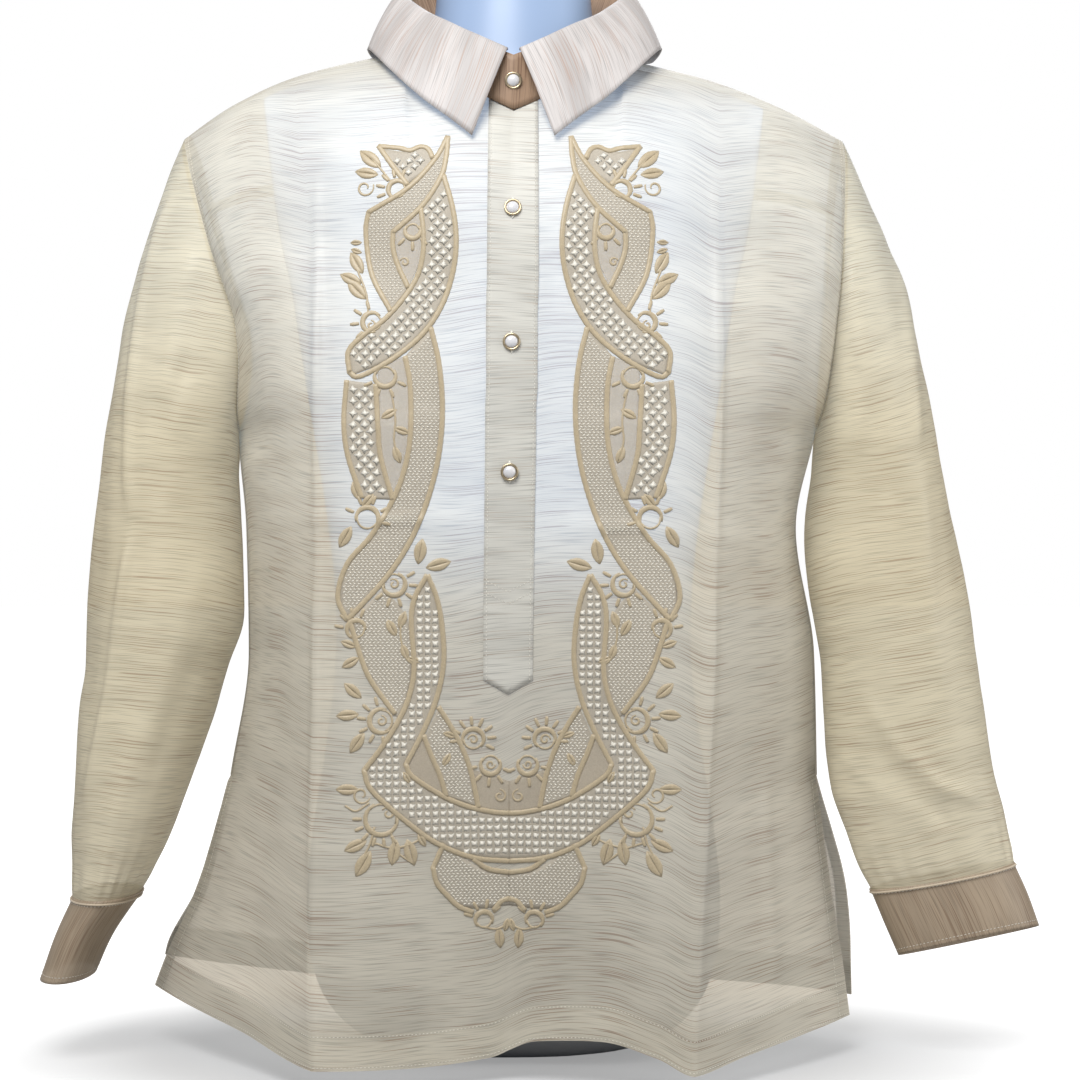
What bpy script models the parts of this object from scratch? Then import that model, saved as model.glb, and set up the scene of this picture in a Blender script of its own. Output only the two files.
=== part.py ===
"""A barong tagalog, the sheer formal shirt of the Philippines, on a plain hip-length display form.

The cloth pieces are thin walls worked out from tables: a ring of points at each height gives the body,
and a ring at each station gives a sleeve. Tables are in millimetres, the model in metres.
The origin is under the middle of the form, on the surface that it stands on.
+X is the wearer's left, -Y is the front and +Z is up.
"""

import math
from bisect import bisect_right

import bpy
from mathutils import Vector

MM = 0.001

# Driving dimensions.
WALL = 1.2 * MM  # one layer of cloth
DOUBLE_WALL = 1.8 * MM  # collar, stand and cuffs, which are two layers
SEAM = 0.3 * MM  # gap between two pieces at a seam
REST_GAP = 0.45 * MM  # gap between the form's shoulders and the cloth on them

SPANS = 4  # a panel runs side, pressed fold, middle, pressed fold, side
COLUMNS = 8  # columns in each span
ROLL_STEPS = 6  # rows where a panel rolls over the shoulder
NECK_START, NECK_END = 1.5, 2.5  # spans between which the neckline runs
YOKE_ROW = 4  # row of the roll, from the top, where the yoke joins the back
SLIT_Z = 220 * MM  # top of the side slits
UNDERARM_Z = 497 * MM  # foot of the armholes
# Up a panel, level 0 is the hem, 1 the top of the slit, 2 the underarm, 3 the start of the
# shoulder roll and 4 the upper edge.
SLIT, UNDERARM, ROLL, TOP = 1, 2, 3, 4
BODY_LEVELS = (
    0.0, 0.2, 0.4, 0.6, 0.8,
    SLIT, 1.17, 1.34, 1.5, 1.67, 1.84,
    UNDERARM, 2.07, 2.18, 2.35, 2.57, 2.78, ROLL,
)

ARMHOLE_MIDDLE_Z = 610 * MM  # height that the wall's thickness points at round an armhole

NECK_HALF_WIDTH = 85 * MM
NECK_FRONT = 95 * MM
NECK_BACK = 70 * MM
NECK_X = 1 * MM  # middle of the neckline
NECK_TILT = 3 * MM  # how far the neckline's left end is below its middle, and its right end above

STAND_RISE = 0.4 * MM  # gap between the neckline and the stand's lower edge
STAND_INSET, STAND_DROP = 3.8 * MM, 2.4 * MM  # from the collar's fold line in and down to the stand
STAND_BOW = 0.5 * MM
STAND_LAP = 2.1 * MM  # how far the stand's outer end lies over its inner end
# Where the leaf turns over the stand, its outer and inner points as steps outwards and upwards from
# the fold line, and the bow of its fall, all in millimetres.
LEAF_OUTER = ((-5.6, -0.8), (-2.0, 0.0), (1.1, -1.2))
LEAF_INNER = ((-5.6, -2.1), (-2.0, -2.1), (-0.5, -2.1))
LEAF_BOW = (1.6, 0.8)

# A button's metal cup and its pearl, as radius and height in millimetres.
CUP = ((0, 0), (5.6, 0), (6.5, 0.9), (6.5, 2.0), (6.1, 2.4), (5.6, 2.0), (5.3, 1.1), (0, 1.1))
PEARL = ((0, 1.4), (4.9, 1.4), (5.2, 2.2), (4.5, 3.6), (2.6, 4.7), (0, 5.1))
BUTTON_SIDES = 16

# Base colour, roughness and metallic of each kind of piece.
LOOKS = {
    "body cloth": ((0.84, 0.80, 0.70), 0.55, 0.0),
    "sleeve cloth": ((0.86, 0.80, 0.64), 0.55, 0.0),
    "cuff": ((0.72, 0.64, 0.54), 0.50, 0.0),
    "stand": ((0.66, 0.52, 0.42), 0.50, 0.0),
    "leaf": ((0.88, 0.84, 0.78), 0.50, 0.0),
    "placket": ((0.87, 0.85, 0.76), 0.50, 0.0),
    "gilt": ((0.58, 0.44, 0.25), 0.35, 1.0),
    "pearl": ((0.90, 0.90, 0.92), 0.25, 0.0),
    "form": ((0.55, 0.64, 0.90), 0.40, 0.0),
}


def table(names, *rows):
    """Columns by name, from rows of numbers."""
    return {name: [row[i] for row in rows] for i, name in enumerate(names.split())}


# The front's ring of points at each height: x and y of each side edge, pressed fold and the middle.
# press is how sharply the folds are ironed, from 0 for round to 1 for flat panels.
FRONT_RING = table(
    "z side_r_x side_r_y fold_r_x fold_r_y mid_x mid_y fold_l_x fold_l_y side_l_x side_l_y press",
    (10, -308, 41, -148, -170, -3, -124, 136, -170, 272, -18, 0.85),
    (70, -285, 35, -148, -168, -3, -127, 137, -168, 265, -8, 0.80),
    (120, -262, 29, -148, -166, -3, -130, 139, -165, 258, 0, 0.72),
    (220, -229, 10, -147, -158, -3, -136, 145, -158, 245, 8, 0.55),
    (320, -213, 0, -146, -150, -3, -140, 150, -150, 242, 3, 0.40),
    (420, -215, 0, -145, -144, -2, -143, 153, -142, 227, 0, 0.30),
    (497, -221, 0, -146, -138, -1, -144, 156, -136, 243, 0, 0.20),
    (508, -220, -24, -146, -137, -1, -144, 156, -135, 245, -24, 0.18),
    (525, -218, -38, -147, -136, 0, -144, 157, -134, 248, -38, 0.16),
    (550, -216, -49, -147, -133, 0, -143, 157, -131, 251, -49, 0.14),
    (580, -218, -55, -148, -127, 0, -141, 157, -125, 254, -55, 0.12),
    (610, -227, -57, -150, -118, 1, -138, 158, -116, 257, -57, 0.10),
    (645, -240, -58, -152, -104, 1, -130, 158, -102, 259, -58, 0.10),
)
BACK_RING = table(
    "z side_r_x side_r_y fold_r_x fold_r_y mid_x mid_y fold_l_x fold_l_y side_l_x side_l_y press",
    (10, -300, 84, -142, 164, 0, 148, 142, 164, 279, 46, 0.50),
    (70, -291, 76, -141, 161, 0, 147, 142, 160, 277, 42, 0.48),
    (120, -264, 60, -140, 157, 0, 146, 142, 156, 273, 34, 0.42),
    (220, -229, 10, -139, 150, 0, 143, 143, 150, 245, 8, 0.30),
    (320, -213, 0, -138, 142, 0, 139, 143, 142, 242, 3, 0.20),
    (420, -215, 0, -136, 135, 0, 135, 142, 134, 227, 0, 0.10),
    (497, -221, 0, -136, 131, 0, 133, 140, 130, 243, 0, 0.0),
    (508, -220, 24, -136, 130, 0, 133, 140, 129, 245, 24, 0.0),
    (525, -218, 38, -136, 129, 0, 132, 140, 128, 248, 38, 0.0),
    (550, -216, 49, -136, 127, 0, 131, 140, 127, 251, 49, 0.0),
    (580, -218, 55, -137, 123, 0, 130, 140, 123, 254, 55, 0.0),
    (610, -227, 57, -140, 114, 0, 128, 142, 114, 257, 57, 0.0),
    (645, -240, 58, -144, 101, 0, 122, 146, 101, 259, 58, 0.0),
)
# Along the hem, by span from the wearer's right side to the left: its height on each panel.
HEM = table(
    "span front back",
    (0.0, 45, 64),
    (0.6, 31, 42),
    (1.0, 16, 30),
    (1.5, 14, 26),
    (1.9, 18, 25),
    (2.15, 31, 25),
    (2.5, 34, 26),
    (2.8, 24, 28),
    (3.0, 12, 30),
    (3.3, 19, 32),
    (4.0, 30, 36),
)
# Along the shoulders: the ridge, and the height at which each panel's roll over the shoulder begins.
SHOULDER = table(
    "span x z front_roll back_roll",
    (0.0, -264, 733, 633, 633),
    (0.5, -220, 761.5, 640, 640),
    (1.0, -175, 782, 640, 640),
    (1.5, -85, 803, 615, 625),
    (2.0, 2, 824, 600, 620),
    (2.5, 87, 797, 613, 624),
    (3.0, 163, 777, 636, 636),
    (3.5, 214, 757, 638, 638),
    (4.0, 264, 731, 631, 631),
)
# From the middle of the neckline to the neck point: share of the half neckline, turn in degrees,
# and the height of the neckline at the front and at the back.
NECKLINE = table(
    "share turn front_z back_z",
    (0.0, 0, 742, 822),
    (0.25, 13, 751, 821),
    (0.5, 33, 767, 818),
    (0.75, 58, 783, 812),
    (1.0, 90, 800, 800),
)
FRONT_LEAN, BACK_LEAN = 45.0, 33.0  # slope of the cloth at the middle of the neckline, in degrees

# Round the collar, by turn from the middle of the front: its fold line and the leaf's outer edge.
COLLAR = table(
    "turn fold_x fold_y fold_z edge_x edge_y edge_z",
    (0, 0, -101, 785, 27, -120, 714),
    (13, 22, -92, 796, 46, -112.5, 730),
    (33, 48, -71, 811.5, 72, -98, 751),
    (58, 72, -42, 827, 100, -70, 780),
    (90, 94, -4, 849, 117, -14, 802),
    (122, 90, 40, 861, 112, 34, 801),
    (147, 66, 65, 866, 88, 67, 806),
    (167, 34, 78, 868, 50, 85, 811),
    (180, 0, 82, 868.5, 0, 91, 813),
)
COLLAR_END = 3.0  # turn at which each leaf ends at the front

# Down each sleeve: the height of its inner and outer side, their x outwards, and its y reach.
SLEEVE_RIGHT = table(
    "z_in z_out x_in x_out y_mid y_half",
    (458, 462, 222, 333, 0, 64),
    (400, 404, 217.5, 339, -2, 66),
    (350, 354, 217, 342.5, -4, 68),
    (308, 310, 230, 344, -6, 67),
    (276, 278, 239, 347, -8, 66),
    (211, 213, 261, 349.5, -12, 64),
    (172, 173, 276, 352.5, -14, 61),
    (148, 149, 288, 352, -15, 58),
    (127, 126, 299.5, 351, -16, 55),
)
SLEEVE_LEFT = table(
    "z_in z_out x_in x_out y_mid y_half",
    (458, 465, 240, 344, 0, 62),
    (415, 422, 232.5, 355, -2, 60),
    (350, 357, 240.5, 366, -5, 56),
    (308, 315, 246.5, 371.5, -8, 52),
    (255, 266, 249.5, 378, -12, 47),
    (211, 225, 254, 384, -16, 41),
    (176, 194, 266, 391, -19, 35),
    (150, 172, 275, 395.5, -21, 31),
    (130.3, 152.1, 285.7, 399.3, -22, 27),
)
SLEEVE_FAN = (0.14, 0.30, 0.47, 0.64, 0.82)  # shares of the way from the armhole to the first ring
SLEEVE_HEAD = 12 * MM  # how far the sleeve head swells past the straight line
SLEEVE_FULLNESS = 4 * MM  # how far the sleeve swells to the front and back below the armhole
CUFFS = {
    "right": table(
        "z_in z_out x_in x_out y_mid y_half",
        (126.2, 125.2, 299, 351.5, -16, 55.5),
        (92, 94, 322, 365, -18, 54.5),
        (64.5, 63.5, 334, 375.5, -20, 53),
    ),
    "left": table(
        "z_in z_out x_in x_out y_mid y_half",
        (129.5, 151.3, 285.5, 399.8, -22, 27.5),
        (104, 128, 296, 410, -24, 27.5),
        (79.5, 103, 306.6, 418.7, -26, 26.5),
    ),
}
CUFF_TILT = {"right": 0.0, "left": 6 * MM}  # how far the front of the cuff's end is lifted
CUFF_BUTTON_TURN = 5 / 6  # share of the way round the cuff, from its outer side by the front
CUFF_BUTTON_SHARE = 0.3  # share of the way from the cuff's middle ring to its upper edge

# The form's own ring, alike on both sides, and its ridge at the shoulders.
FORM_RING = table(
    "z side_x fold_x front_y front_mid_y back_y back_mid_y",
    (0, 96, 62, -36, -42, 84, 92),
    (12, 124, 76, -62, -68, 98, 102),
    (35, 152, 88, -83, -89, 110, 112),
    (75, 168, 94, -94, -99, 117, 116),
    (140, 169, 95, -96, -100, 115, 112),
    (240, 152, 88, -92, -97, 98, 92),
    (340, 140, 84, -93, -96, 86, 80),
    (440, 152, 90, -108, -108, 98, 92),
    (530, 168, 97, -124, -120, 110, 104),
    (600, 178, 102, -120, -118, 112, 108),
    (640, 184, 104, -106, -112, 104, 108),
)
FORM_SHOULDER = table(
    "span x roll",
    (0.0, -206, 620),
    (0.5, -172, 618),
    (1.0, -134, 612),
    (1.5, -80, 600),
    (2.0, 0, 590),
    (2.5, 80, 600),
    (3.0, 134, 612),
    (3.5, 172, 618),
    (4.0, 206, 620),
)
FORM_NECK_BASE = table(
    "share turn front_z back_z",
    (0.0, 0, 762, 806),
    (0.25, 13, 764, 806),
    (0.5, 33, 771, 804),
    (0.75, 58, 782, 801),
    (1.0, 90, 796, 798),
)
FORM_NECK = table(
    "z half_x front back",
    (818, 71, 61, 57),
    (838, 67.5, 57, 58),
    (860, 66.5, 55, 60),
    (876, 65.5, 53, 60),
    (884, 61, 48, 56),
    (888, 48, 37, 44),
)
FORM_SLOPE = 1.6  # how much faster the form falls away from the ridge than the cloth does
FORM_NECK_WIDTH, FORM_NECK_FRONT, FORM_NECK_BACK = 80 * MM, 68 * MM, 60 * MM  # round the neck's foot
FORM_NECK_LEAN = 40.0  # slope of the torso at the middle of the neck's foot, in degrees
FORM_FOOT_Y = 10 * MM  # middle of the foot that it stands on
FORM_CAP_Y, FORM_CAP_Z = 4 * MM, 889 * MM  # middle of the neck's top
FORM_COLUMNS = 6
FORM_SHARES = (0.0, 0.02, 0.057, 0.122, 0.24, 0.38, 0.52, 0.66, 0.80, 0.91, 1.0)  # rows of the torso

PLACKET_COLUMNS = (1.875, 2.0, 2.125)
PLACKET_CORNER_Z, PLACKET_TIP_Z = 305 * MM, 294 * MM
PLACKET_TOP = 0.75  # share of the last row that it covers, below the stand
BUTTON_HEIGHTS = (661, 559, 461)  # on the placket, in millimetres
STAND_BUTTON_Z = 763 * MM


def smooth(knots, values, at):
    """Value at `at` on the curve through knots and values, with no overshoot between them."""
    at = min(max(at, knots[0]), knots[-1])
    i = min(bisect_right(knots, at) - 1, len(knots) - 2)

    def slope(k):
        return (values[k + 1] - values[k]) / (knots[k + 1] - knots[k])

    def tangent(k):
        if k == 0:
            return slope(0)
        if k == len(knots) - 1:
            return slope(k - 1)
        before, after = slope(k - 1), slope(k)
        if before * after <= 0:
            return 0.0
        return 2 * before * after / (before + after)

    width = knots[i + 1] - knots[i]
    t = (at - knots[i]) / width
    return (
        values[i] * (1 + 2 * t) * (1 - t) ** 2
        + values[i + 1] * t * t * (3 - 2 * t)
        + width * t * (1 - t) * (tangent(i) * (1 - t) - tangent(i + 1) * t)
    )


def read(source, key, name, at):
    """A column of a table at a place between its rows, in metres."""
    return smooth(source[key], source[name], at) * MM


def spline(points, span, press):
    """Point on the curve through points[1:-1], pressed towards straight runs between them."""
    i = min(int(span), len(points) - 4)
    t = span - i
    before, start, end, after = points[i : i + 4]
    curve = (
        2 * start
        + (end - before) * t
        + (2 * before - 5 * start + 4 * end - after) * t * t
        + (3 * start - before - 3 * end + after) * t**3
    ) / 2
    return curve.lerp(start.lerp(end, t), press)


def side_rows(ring, z):
    """The rows of a ring's table on the same side of the slit's top as a height."""
    top = ring["z"].index(round(SLIT_Z / MM))
    kept = slice(top, None) if z >= SLIT_Z else slice(0, top + 1)
    return {name: column[kept] for name, column in ring.items()}


def ring_points(ring, z):
    """The five points of a panel's ring at a height, from the wearer's right to the left."""
    points = []
    for name in ("side_r", "fold_r", "mid", "fold_l", "side_l"):
        rows = side_rows(ring, z) if name.startswith("side") else ring
        points.append(Vector([read(rows, "z", f"{name}_{axis}", z / MM) for axis in "xy"]))
    return points


def ring_point(panel, span, z):
    """Point of a panel at a height, rounded at its sides as if it ran on into the other panel."""
    own = ring_points(panel["ring"], z)
    other = ring_points(panel["other"], z)
    press = smooth(panel["ring"]["z"], panel["ring"]["press"], z / MM)
    flat = spline([other[1]] + own + [other[3]], span, press)
    return Vector((flat.x, flat.y, z))


FRONT = {"ring": FRONT_RING, "other": BACK_RING, "side": "front", "face": -1, "depth": NECK_FRONT}
BACK = {"ring": BACK_RING, "other": FRONT_RING, "side": "back", "face": 1, "depth": NECK_BACK}
LEAN = {"front": FRONT_LEAN, "back": BACK_LEAN}


def neckline_turn(span):
    """Turn round the neckline at a span, in degrees from its middle, or 90 outside it."""
    share = abs(span - 2) / (NECK_END - 2)
    return smooth(NECKLINE["share"], NECKLINE["turn"], share) if share < 1 else 90.0


def top_edge(panel, span):
    """Upper end of a panel's column, and the cloth's slope there in radians."""
    turn = neckline_turn(span)
    if turn >= 90:
        x, z = read(SHOULDER, "span", "x", span), read(SHOULDER, "span", "z", span)
        return Vector((x, panel["face"] * SEAM / 2, z)), 0.0
    side = math.copysign(1, span - 2)
    x = NECK_X + side * NECK_HALF_WIDTH * math.sin(math.radians(turn))
    y = panel["face"] * (panel["depth"] * math.cos(math.radians(turn)) + SEAM / 2)
    z = read(NECKLINE, "turn", panel["side"] + "_z", turn) - NECK_TILT * x / NECK_HALF_WIDTH
    return Vector((x, y, z)), math.radians(LEAN[panel["side"]] * math.cos(math.radians(turn)))


def panel_point(panel, span, level):
    """Point of a panel at a span across it and a level up it."""
    roll_z = read(SHOULDER, "span", panel["side"] + "_roll", span)
    if level <= ROLL:
        heights = (read(HEM, "span", panel["side"], span), SLIT_Z, UNDERARM_Z, roll_z)
        zone = min(int(level), ROLL - 1)
        low_z, high_z = heights[zone], heights[zone + 1]
        return ring_point(panel, span, low_z + (high_z - low_z) * (level - zone))
    low = ring_point(panel, span, roll_z)
    top, lean = top_edge(panel, span)
    angle = lean + (math.pi / 2 - lean) * (TOP - level)
    across = (math.sin(angle) - math.sin(lean)) / (1 - math.sin(lean))
    down = 1 - math.cos(angle) / math.cos(lean)
    return Vector(
        (
            top.x + (low.x - top.x) * down,
            top.y + (low.y - top.y) * across,
            top.z + (low.z - top.z) * down,
        )
    )


def columns(steps):
    """Span values of a panel's columns."""
    return [i / steps for i in range(SPANS * steps + 1)]


def levels(body, steps):
    """Level values of the rows: those of the body, then even steps over the shoulder."""
    return list(body) + [body[-1] + i / steps for i in range(1, steps + 1)]


def part_seam(point, panel):
    """Moves a side seam's point half the seam's gap towards its own panel."""
    return point + Vector((0, panel["face"] * SEAM / 2, 0))


def panel_grid(panel):
    """Rows of a panel's outer points, and which way its wall's thickness goes at its edges."""
    spans, heights = columns(COLUMNS), levels(BODY_LEVELS, ROLL_STEPS)
    grid = [[panel_point(panel, span, level) for span in spans] for level in heights]
    inward = {}
    for r, level in enumerate(heights):
        for c in (0, len(spans) - 1):
            point = grid[r][c]
            if level < TOP:
                grid[r][c] = part_seam(point, panel)
            if level >= UNDERARM:
                inward[r, c] = Vector((0, -point.y, ARMHOLE_MIDDLE_Z - point.z)).normalized()
            elif level >= SLIT:
                inward[r, c] = Vector((-point.x, 0, 0)).normalized()
    for c, span in enumerate(spans[1:-1], start=1):
        if neckline_turn(span) >= 90:
            inward[len(heights) - 1, c] = Vector((0, 0, -1))
    return grid, inward


def inner_grid(grid, wall, face, cyclic=False, inward=None):
    """Inner points of a wall: each outer point moved in by the wall's thickness."""
    inward = inward or {}
    rows, count = len(grid), len(grid[0])
    result = []
    for r in range(rows):
        line = []
        for c in range(count):
            if cyclic:
                left, right = grid[r][c - 1], grid[r][(c + 1) % count]
            else:
                left, right = grid[r][max(c - 1, 0)], grid[r][min(c + 1, count - 1)]
            low, high = grid[max(r - 1, 0)][c], grid[min(r + 1, rows - 1)][c]
            normal = (right - left).cross(high - low).normalized() * face
            line.append(grid[r][c] + inward.get((r, c), normal) * wall)
        result.append(line)
    return result


def add_object(name, points, faces, look, smooth_angle=35):
    """A closed object from points and triangles, with its own material."""
    mesh = bpy.data.meshes.new(name)
    mesh.from_pydata([tuple(p) for p in points], [], faces)
    volume = sum(points[a].dot(points[b].cross(points[c])) for a, b, c in faces)
    if volume < 0:
        mesh.flip_normals()
    mesh.shade_smooth()
    mesh.set_sharp_from_angle(angle=math.radians(smooth_angle))
    colour, roughness, metallic = LOOKS[look]
    material = bpy.data.materials.new(name)
    material.use_nodes = True
    shader = material.node_tree.nodes["Principled BSDF"]
    shader.inputs["Base Color"].default_value = (*colour, 1)
    shader.inputs["Roughness"].default_value = roughness
    shader.inputs["Metallic"].default_value = metallic
    mesh.materials.append(material)
    bpy.context.scene.collection.objects.link(bpy.data.objects.new(name, mesh))


def quad(a, b, c, d):
    """Two triangles for a four-sided face."""
    return [(a, b, c), (a, c, d)]


def add_wall(name, outer, inner, look, cyclic=False):
    """A wall between an outer and an inner grid of points, closed along its edges.

    Both sides are split into triangles the same way, mirrored about the middle column, so that
    a thin wall never crosses itself.
    """
    rows, count = len(outer), len(outer[0])
    points = [p for line in outer for p in line] + [p for line in inner for p in line]
    shift = rows * count
    faces = []
    span = count if cyclic else count - 1
    for r in range(rows - 1):
        for c in range(span):
            n = (c + 1) % count
            a, b, e, d = r * count + c, r * count + n, (r + 1) * count + n, (r + 1) * count + c
            pair = quad(a, b, e, d) if 2 * c < count - 1 else quad(b, e, d, a)
            faces += pair
            faces += [(shift + i, shift + j, shift + k) for k, j, i in pair]
    for r, flip in ((0, False), (rows - 1, True)):
        for c in range(span):
            a, b = r * count + c, r * count + (c + 1) % count
            side = quad(b, a, shift + a, shift + b)
            faces += [(k, j, i) for i, j, k in side] if flip else side
    if not cyclic:
        for c, flip in ((0, True), (count - 1, False)):
            for r in range(rows - 1):
                a, b = r * count + c, (r + 1) * count + c
                side = quad(b, a, shift + a, shift + b)
                faces += [(k, j, i) for i, j, k in side] if flip else side
    add_object(name, points, faces, look)


def front_piece():
    """The front, cut whole: its opening is under the placket."""
    grid, inward = panel_grid(FRONT)
    inner = inner_grid(grid, WALL, face=-1, inward=inward)
    add_wall("front", grid, inner, "body cloth")
    return grid


def back_pieces():
    """The back and the yoke above it, cut from one surface along a row of the roll."""
    grid, inward = panel_grid(BACK)
    inner = inner_grid(grid, WALL, face=1, inward=inward)
    cut = len(grid) - 1 - YOKE_ROW
    below = len(grid) - 2 - YOKE_ROW

    def edge_row(rows):
        """The lower panel's top row: the yoke's first row, a seam's gap further down the cloth."""
        return [a + (b - a).normalized() * SEAM for a, b in zip(rows[cut], rows[below])]

    add_wall("back_yoke", grid[cut:], inner[cut:], "body cloth")
    lower = grid[:cut] + [edge_row(grid)]
    lower_inner = inner[:cut] + [edge_row(inner)]
    add_wall("back", lower, lower_inner, "body cloth")
    return grid


def armhole_loop(front_grid, back_grid, column):
    """The armhole's points from the shoulder tip down the front edge and up the back edge."""
    start = BODY_LEVELS.index(UNDERARM)
    front_edge = [row[column] for row in front_grid[start:]][::-1]
    back_edge = [row[column] for row in back_grid[start:]]
    tip = (front_edge[0] + back_edge[-1]) / 2
    underarm = (front_edge[-1] + back_edge[0]) / 2
    return [tip] + front_edge[1:-1] + [underarm] + back_edge[1:-1]


def loop_angles(loop):
    """Angle of each point of the armhole, from 0 at the shoulder tip round by the front."""
    half = len(loop) // 2
    angles = []
    for start, end, first in ((0, half, 0.0), (half, len(loop), math.pi)):
        run = [loop[i % len(loop)] for i in range(start, end + 1)]
        steps = [(b - a).length for a, b in zip(run, run[1:])]
        for i in range(len(steps)):
            angles.append(first + math.pi * sum(steps[:i]) / sum(steps))
    return angles


def tube_ring(profile, row, side, angles, tilt=0.0):
    """One ring of a sleeve or cuff, at a row of its table."""
    z_in, z_out, x_in, x_out, y_mid, y_half = (
        profile[name][row] * MM for name in ("z_in", "z_out", "x_in", "x_out", "y_mid", "y_half")
    )
    ring = []
    for angle in angles:
        out = (1 + math.cos(angle)) / 2
        x = side * (x_in + (x_out - x_in) * out)
        y = y_mid - y_half * math.sin(angle)
        ring.append(Vector((x, y, z_in + (z_out - z_in) * out + tilt * math.sin(angle))))
    return ring


def sleeve_and_cuff(name, side, profile, front_grid, back_grid):
    """A sleeve set into its armhole, and the cuff that its end is gathered into."""
    loop = armhole_loop(front_grid, back_grid, 0 if side < 0 else -1)
    angles = loop_angles(loop)
    start = [p + Vector((side * SEAM, 0, 0)) for p in loop]
    first = tube_ring(profile, 0, side, angles)
    rings = [start]
    for share in SLEEVE_FAN:
        swell = 4 * share * (1 - share)
        ring = []
        for p, q, angle in zip(start, first, angles):
            head = SLEEVE_HEAD * max(math.cos(angle), 0) * swell
            fullness = -SLEEVE_FULLNESS * math.sin(angle) * swell
            ring.append(p.lerp(q, share) + Vector((side * head, fullness, 0)))
        rings.append(ring)
    rings += [tube_ring(profile, row, side, angles) for row in range(len(profile["z_in"]))]
    inward = {}
    for i, p in enumerate(loop):
        inward[0, i] = Vector((0, -p.y, ARMHOLE_MIDDLE_Z - p.z)).normalized()
    inner = inner_grid(rings, WALL, face=-side, cyclic=True, inward=inward)
    add_wall(f"sleeve_{name}", rings, inner, "sleeve cloth", cyclic=True)

    band = CUFFS[name]
    tilts = (0.0, CUFF_TILT[name] / 2, CUFF_TILT[name])
    cuff = [tube_ring(band, row, side, angles, tilts[row]) for row in range(len(band["z_in"]))]
    middle = [sum(line, Vector()) / len(line) for line in cuff]
    within = [
        [p + ((m - p) * Vector((1, 1, 0))).normalized() * DOUBLE_WALL for p in line]
        for line, m in zip(cuff, middle)
    ]
    add_wall(f"cuff_{name}", cuff, within, "cuff", cyclic=True)
    return cuff


def neck_point(turn, side):
    """Point of the neckline at a turn from the front's middle, on either side of the neck."""
    panel = FRONT if turn <= 90 else BACK
    angle = turn if turn <= 90 else 180 - turn
    share = smooth(NECKLINE["turn"], NECKLINE["share"], angle)
    span = 2 + side * share * (NECK_END - 2)
    return panel_point(panel, min(max(span, NECK_START), NECK_END), TOP)


def fold_point(turn, side):
    """Point of the collar's fold line."""
    x, y, z = (read(COLLAR, "turn", f"fold_{axis}", turn) for axis in "xyz")
    return Vector((side * x + NECK_X, y, z))


def edge_point(turn, side):
    """Point of the leaf's outer edge."""
    x, y, z = (read(COLLAR, "turn", f"edge_{axis}", turn) for axis in "xyz")
    return Vector((side * x + NECK_X, y, z))


def outward(turn, side):
    """Level direction away from the neck."""
    angle = math.radians(turn)
    return Vector((side * math.sin(angle), -math.cos(angle), 0))


def offset(place, out, steps):
    """A place moved outwards and upwards by steps in millimetres."""
    return place + (out * steps[0] + Vector((0, 0, steps[1]))) * MM


def collar_stand():
    """The band round the neck: its left end laps over its right end in the middle of the front."""
    turns = NECKLINE["turn"]
    right = [(turn, -1, 0.0) for turn in turns] + [(180 - turn, -1, 0.0) for turn in turns[-2::-1]]
    left = [(180 - turn, 1, 0.0) for turn in turns[1:]] + [(turn, 1, 0.0) for turn in turns[-2:1:-1]]
    inner_end = [(turns[1], 1, 0.0)]
    outer_end = [(turns[1], 1, STAND_LAP), (0, 1, STAND_LAP), (turns[1], -1, STAND_LAP)]
    outer_side, inner_side = [], []
    for turn, side, lap in inner_end + right + left + outer_end:
        out = outward(turn, side)
        low = neck_point(turn, side) + out * lap + Vector((0, 0, STAND_RISE))
        high = fold_point(turn, side) + out * (lap - STAND_INSET) - Vector((0, 0, STAND_DROP))
        middle = low.lerp(high, 0.5) + out * STAND_BOW
        outer_side.append([low, middle, high])
        inner_side.append([p - out * DOUBLE_WALL for p in (low, middle, high)])
    add_wall("collar_stand", outer_side, inner_side, "stand")
    return outer_side


def collar_leaf():
    """The turned-down collar: it folds over the top of the stand and falls to its two points."""
    turns = [COLLAR_END] + COLLAR["turn"][1:]
    path = [(turn, -1) for turn in turns] + [(turn, 1) for turn in turns[-2::-1]]
    outer_side, inner_side = [], []
    for turn, side in path:
        out = outward(turn, side)
        fold, edge = fold_point(turn, side), edge_point(turn, side)
        inner_edge = edge - out * DOUBLE_WALL
        for section, steps, end in (
            (outer_side, LEAF_OUTER, edge),
            (inner_side, LEAF_INNER, inner_edge),
        ):
            turn_over = [offset(fold, out, step) for step in steps]
            fall = offset(turn_over[-1].lerp(end, 0.5), out, LEAF_BOW)
            section.append(turn_over + [fall, end])
    add_wall("collar_leaf", outer_side, inner_side, "leaf")


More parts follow.
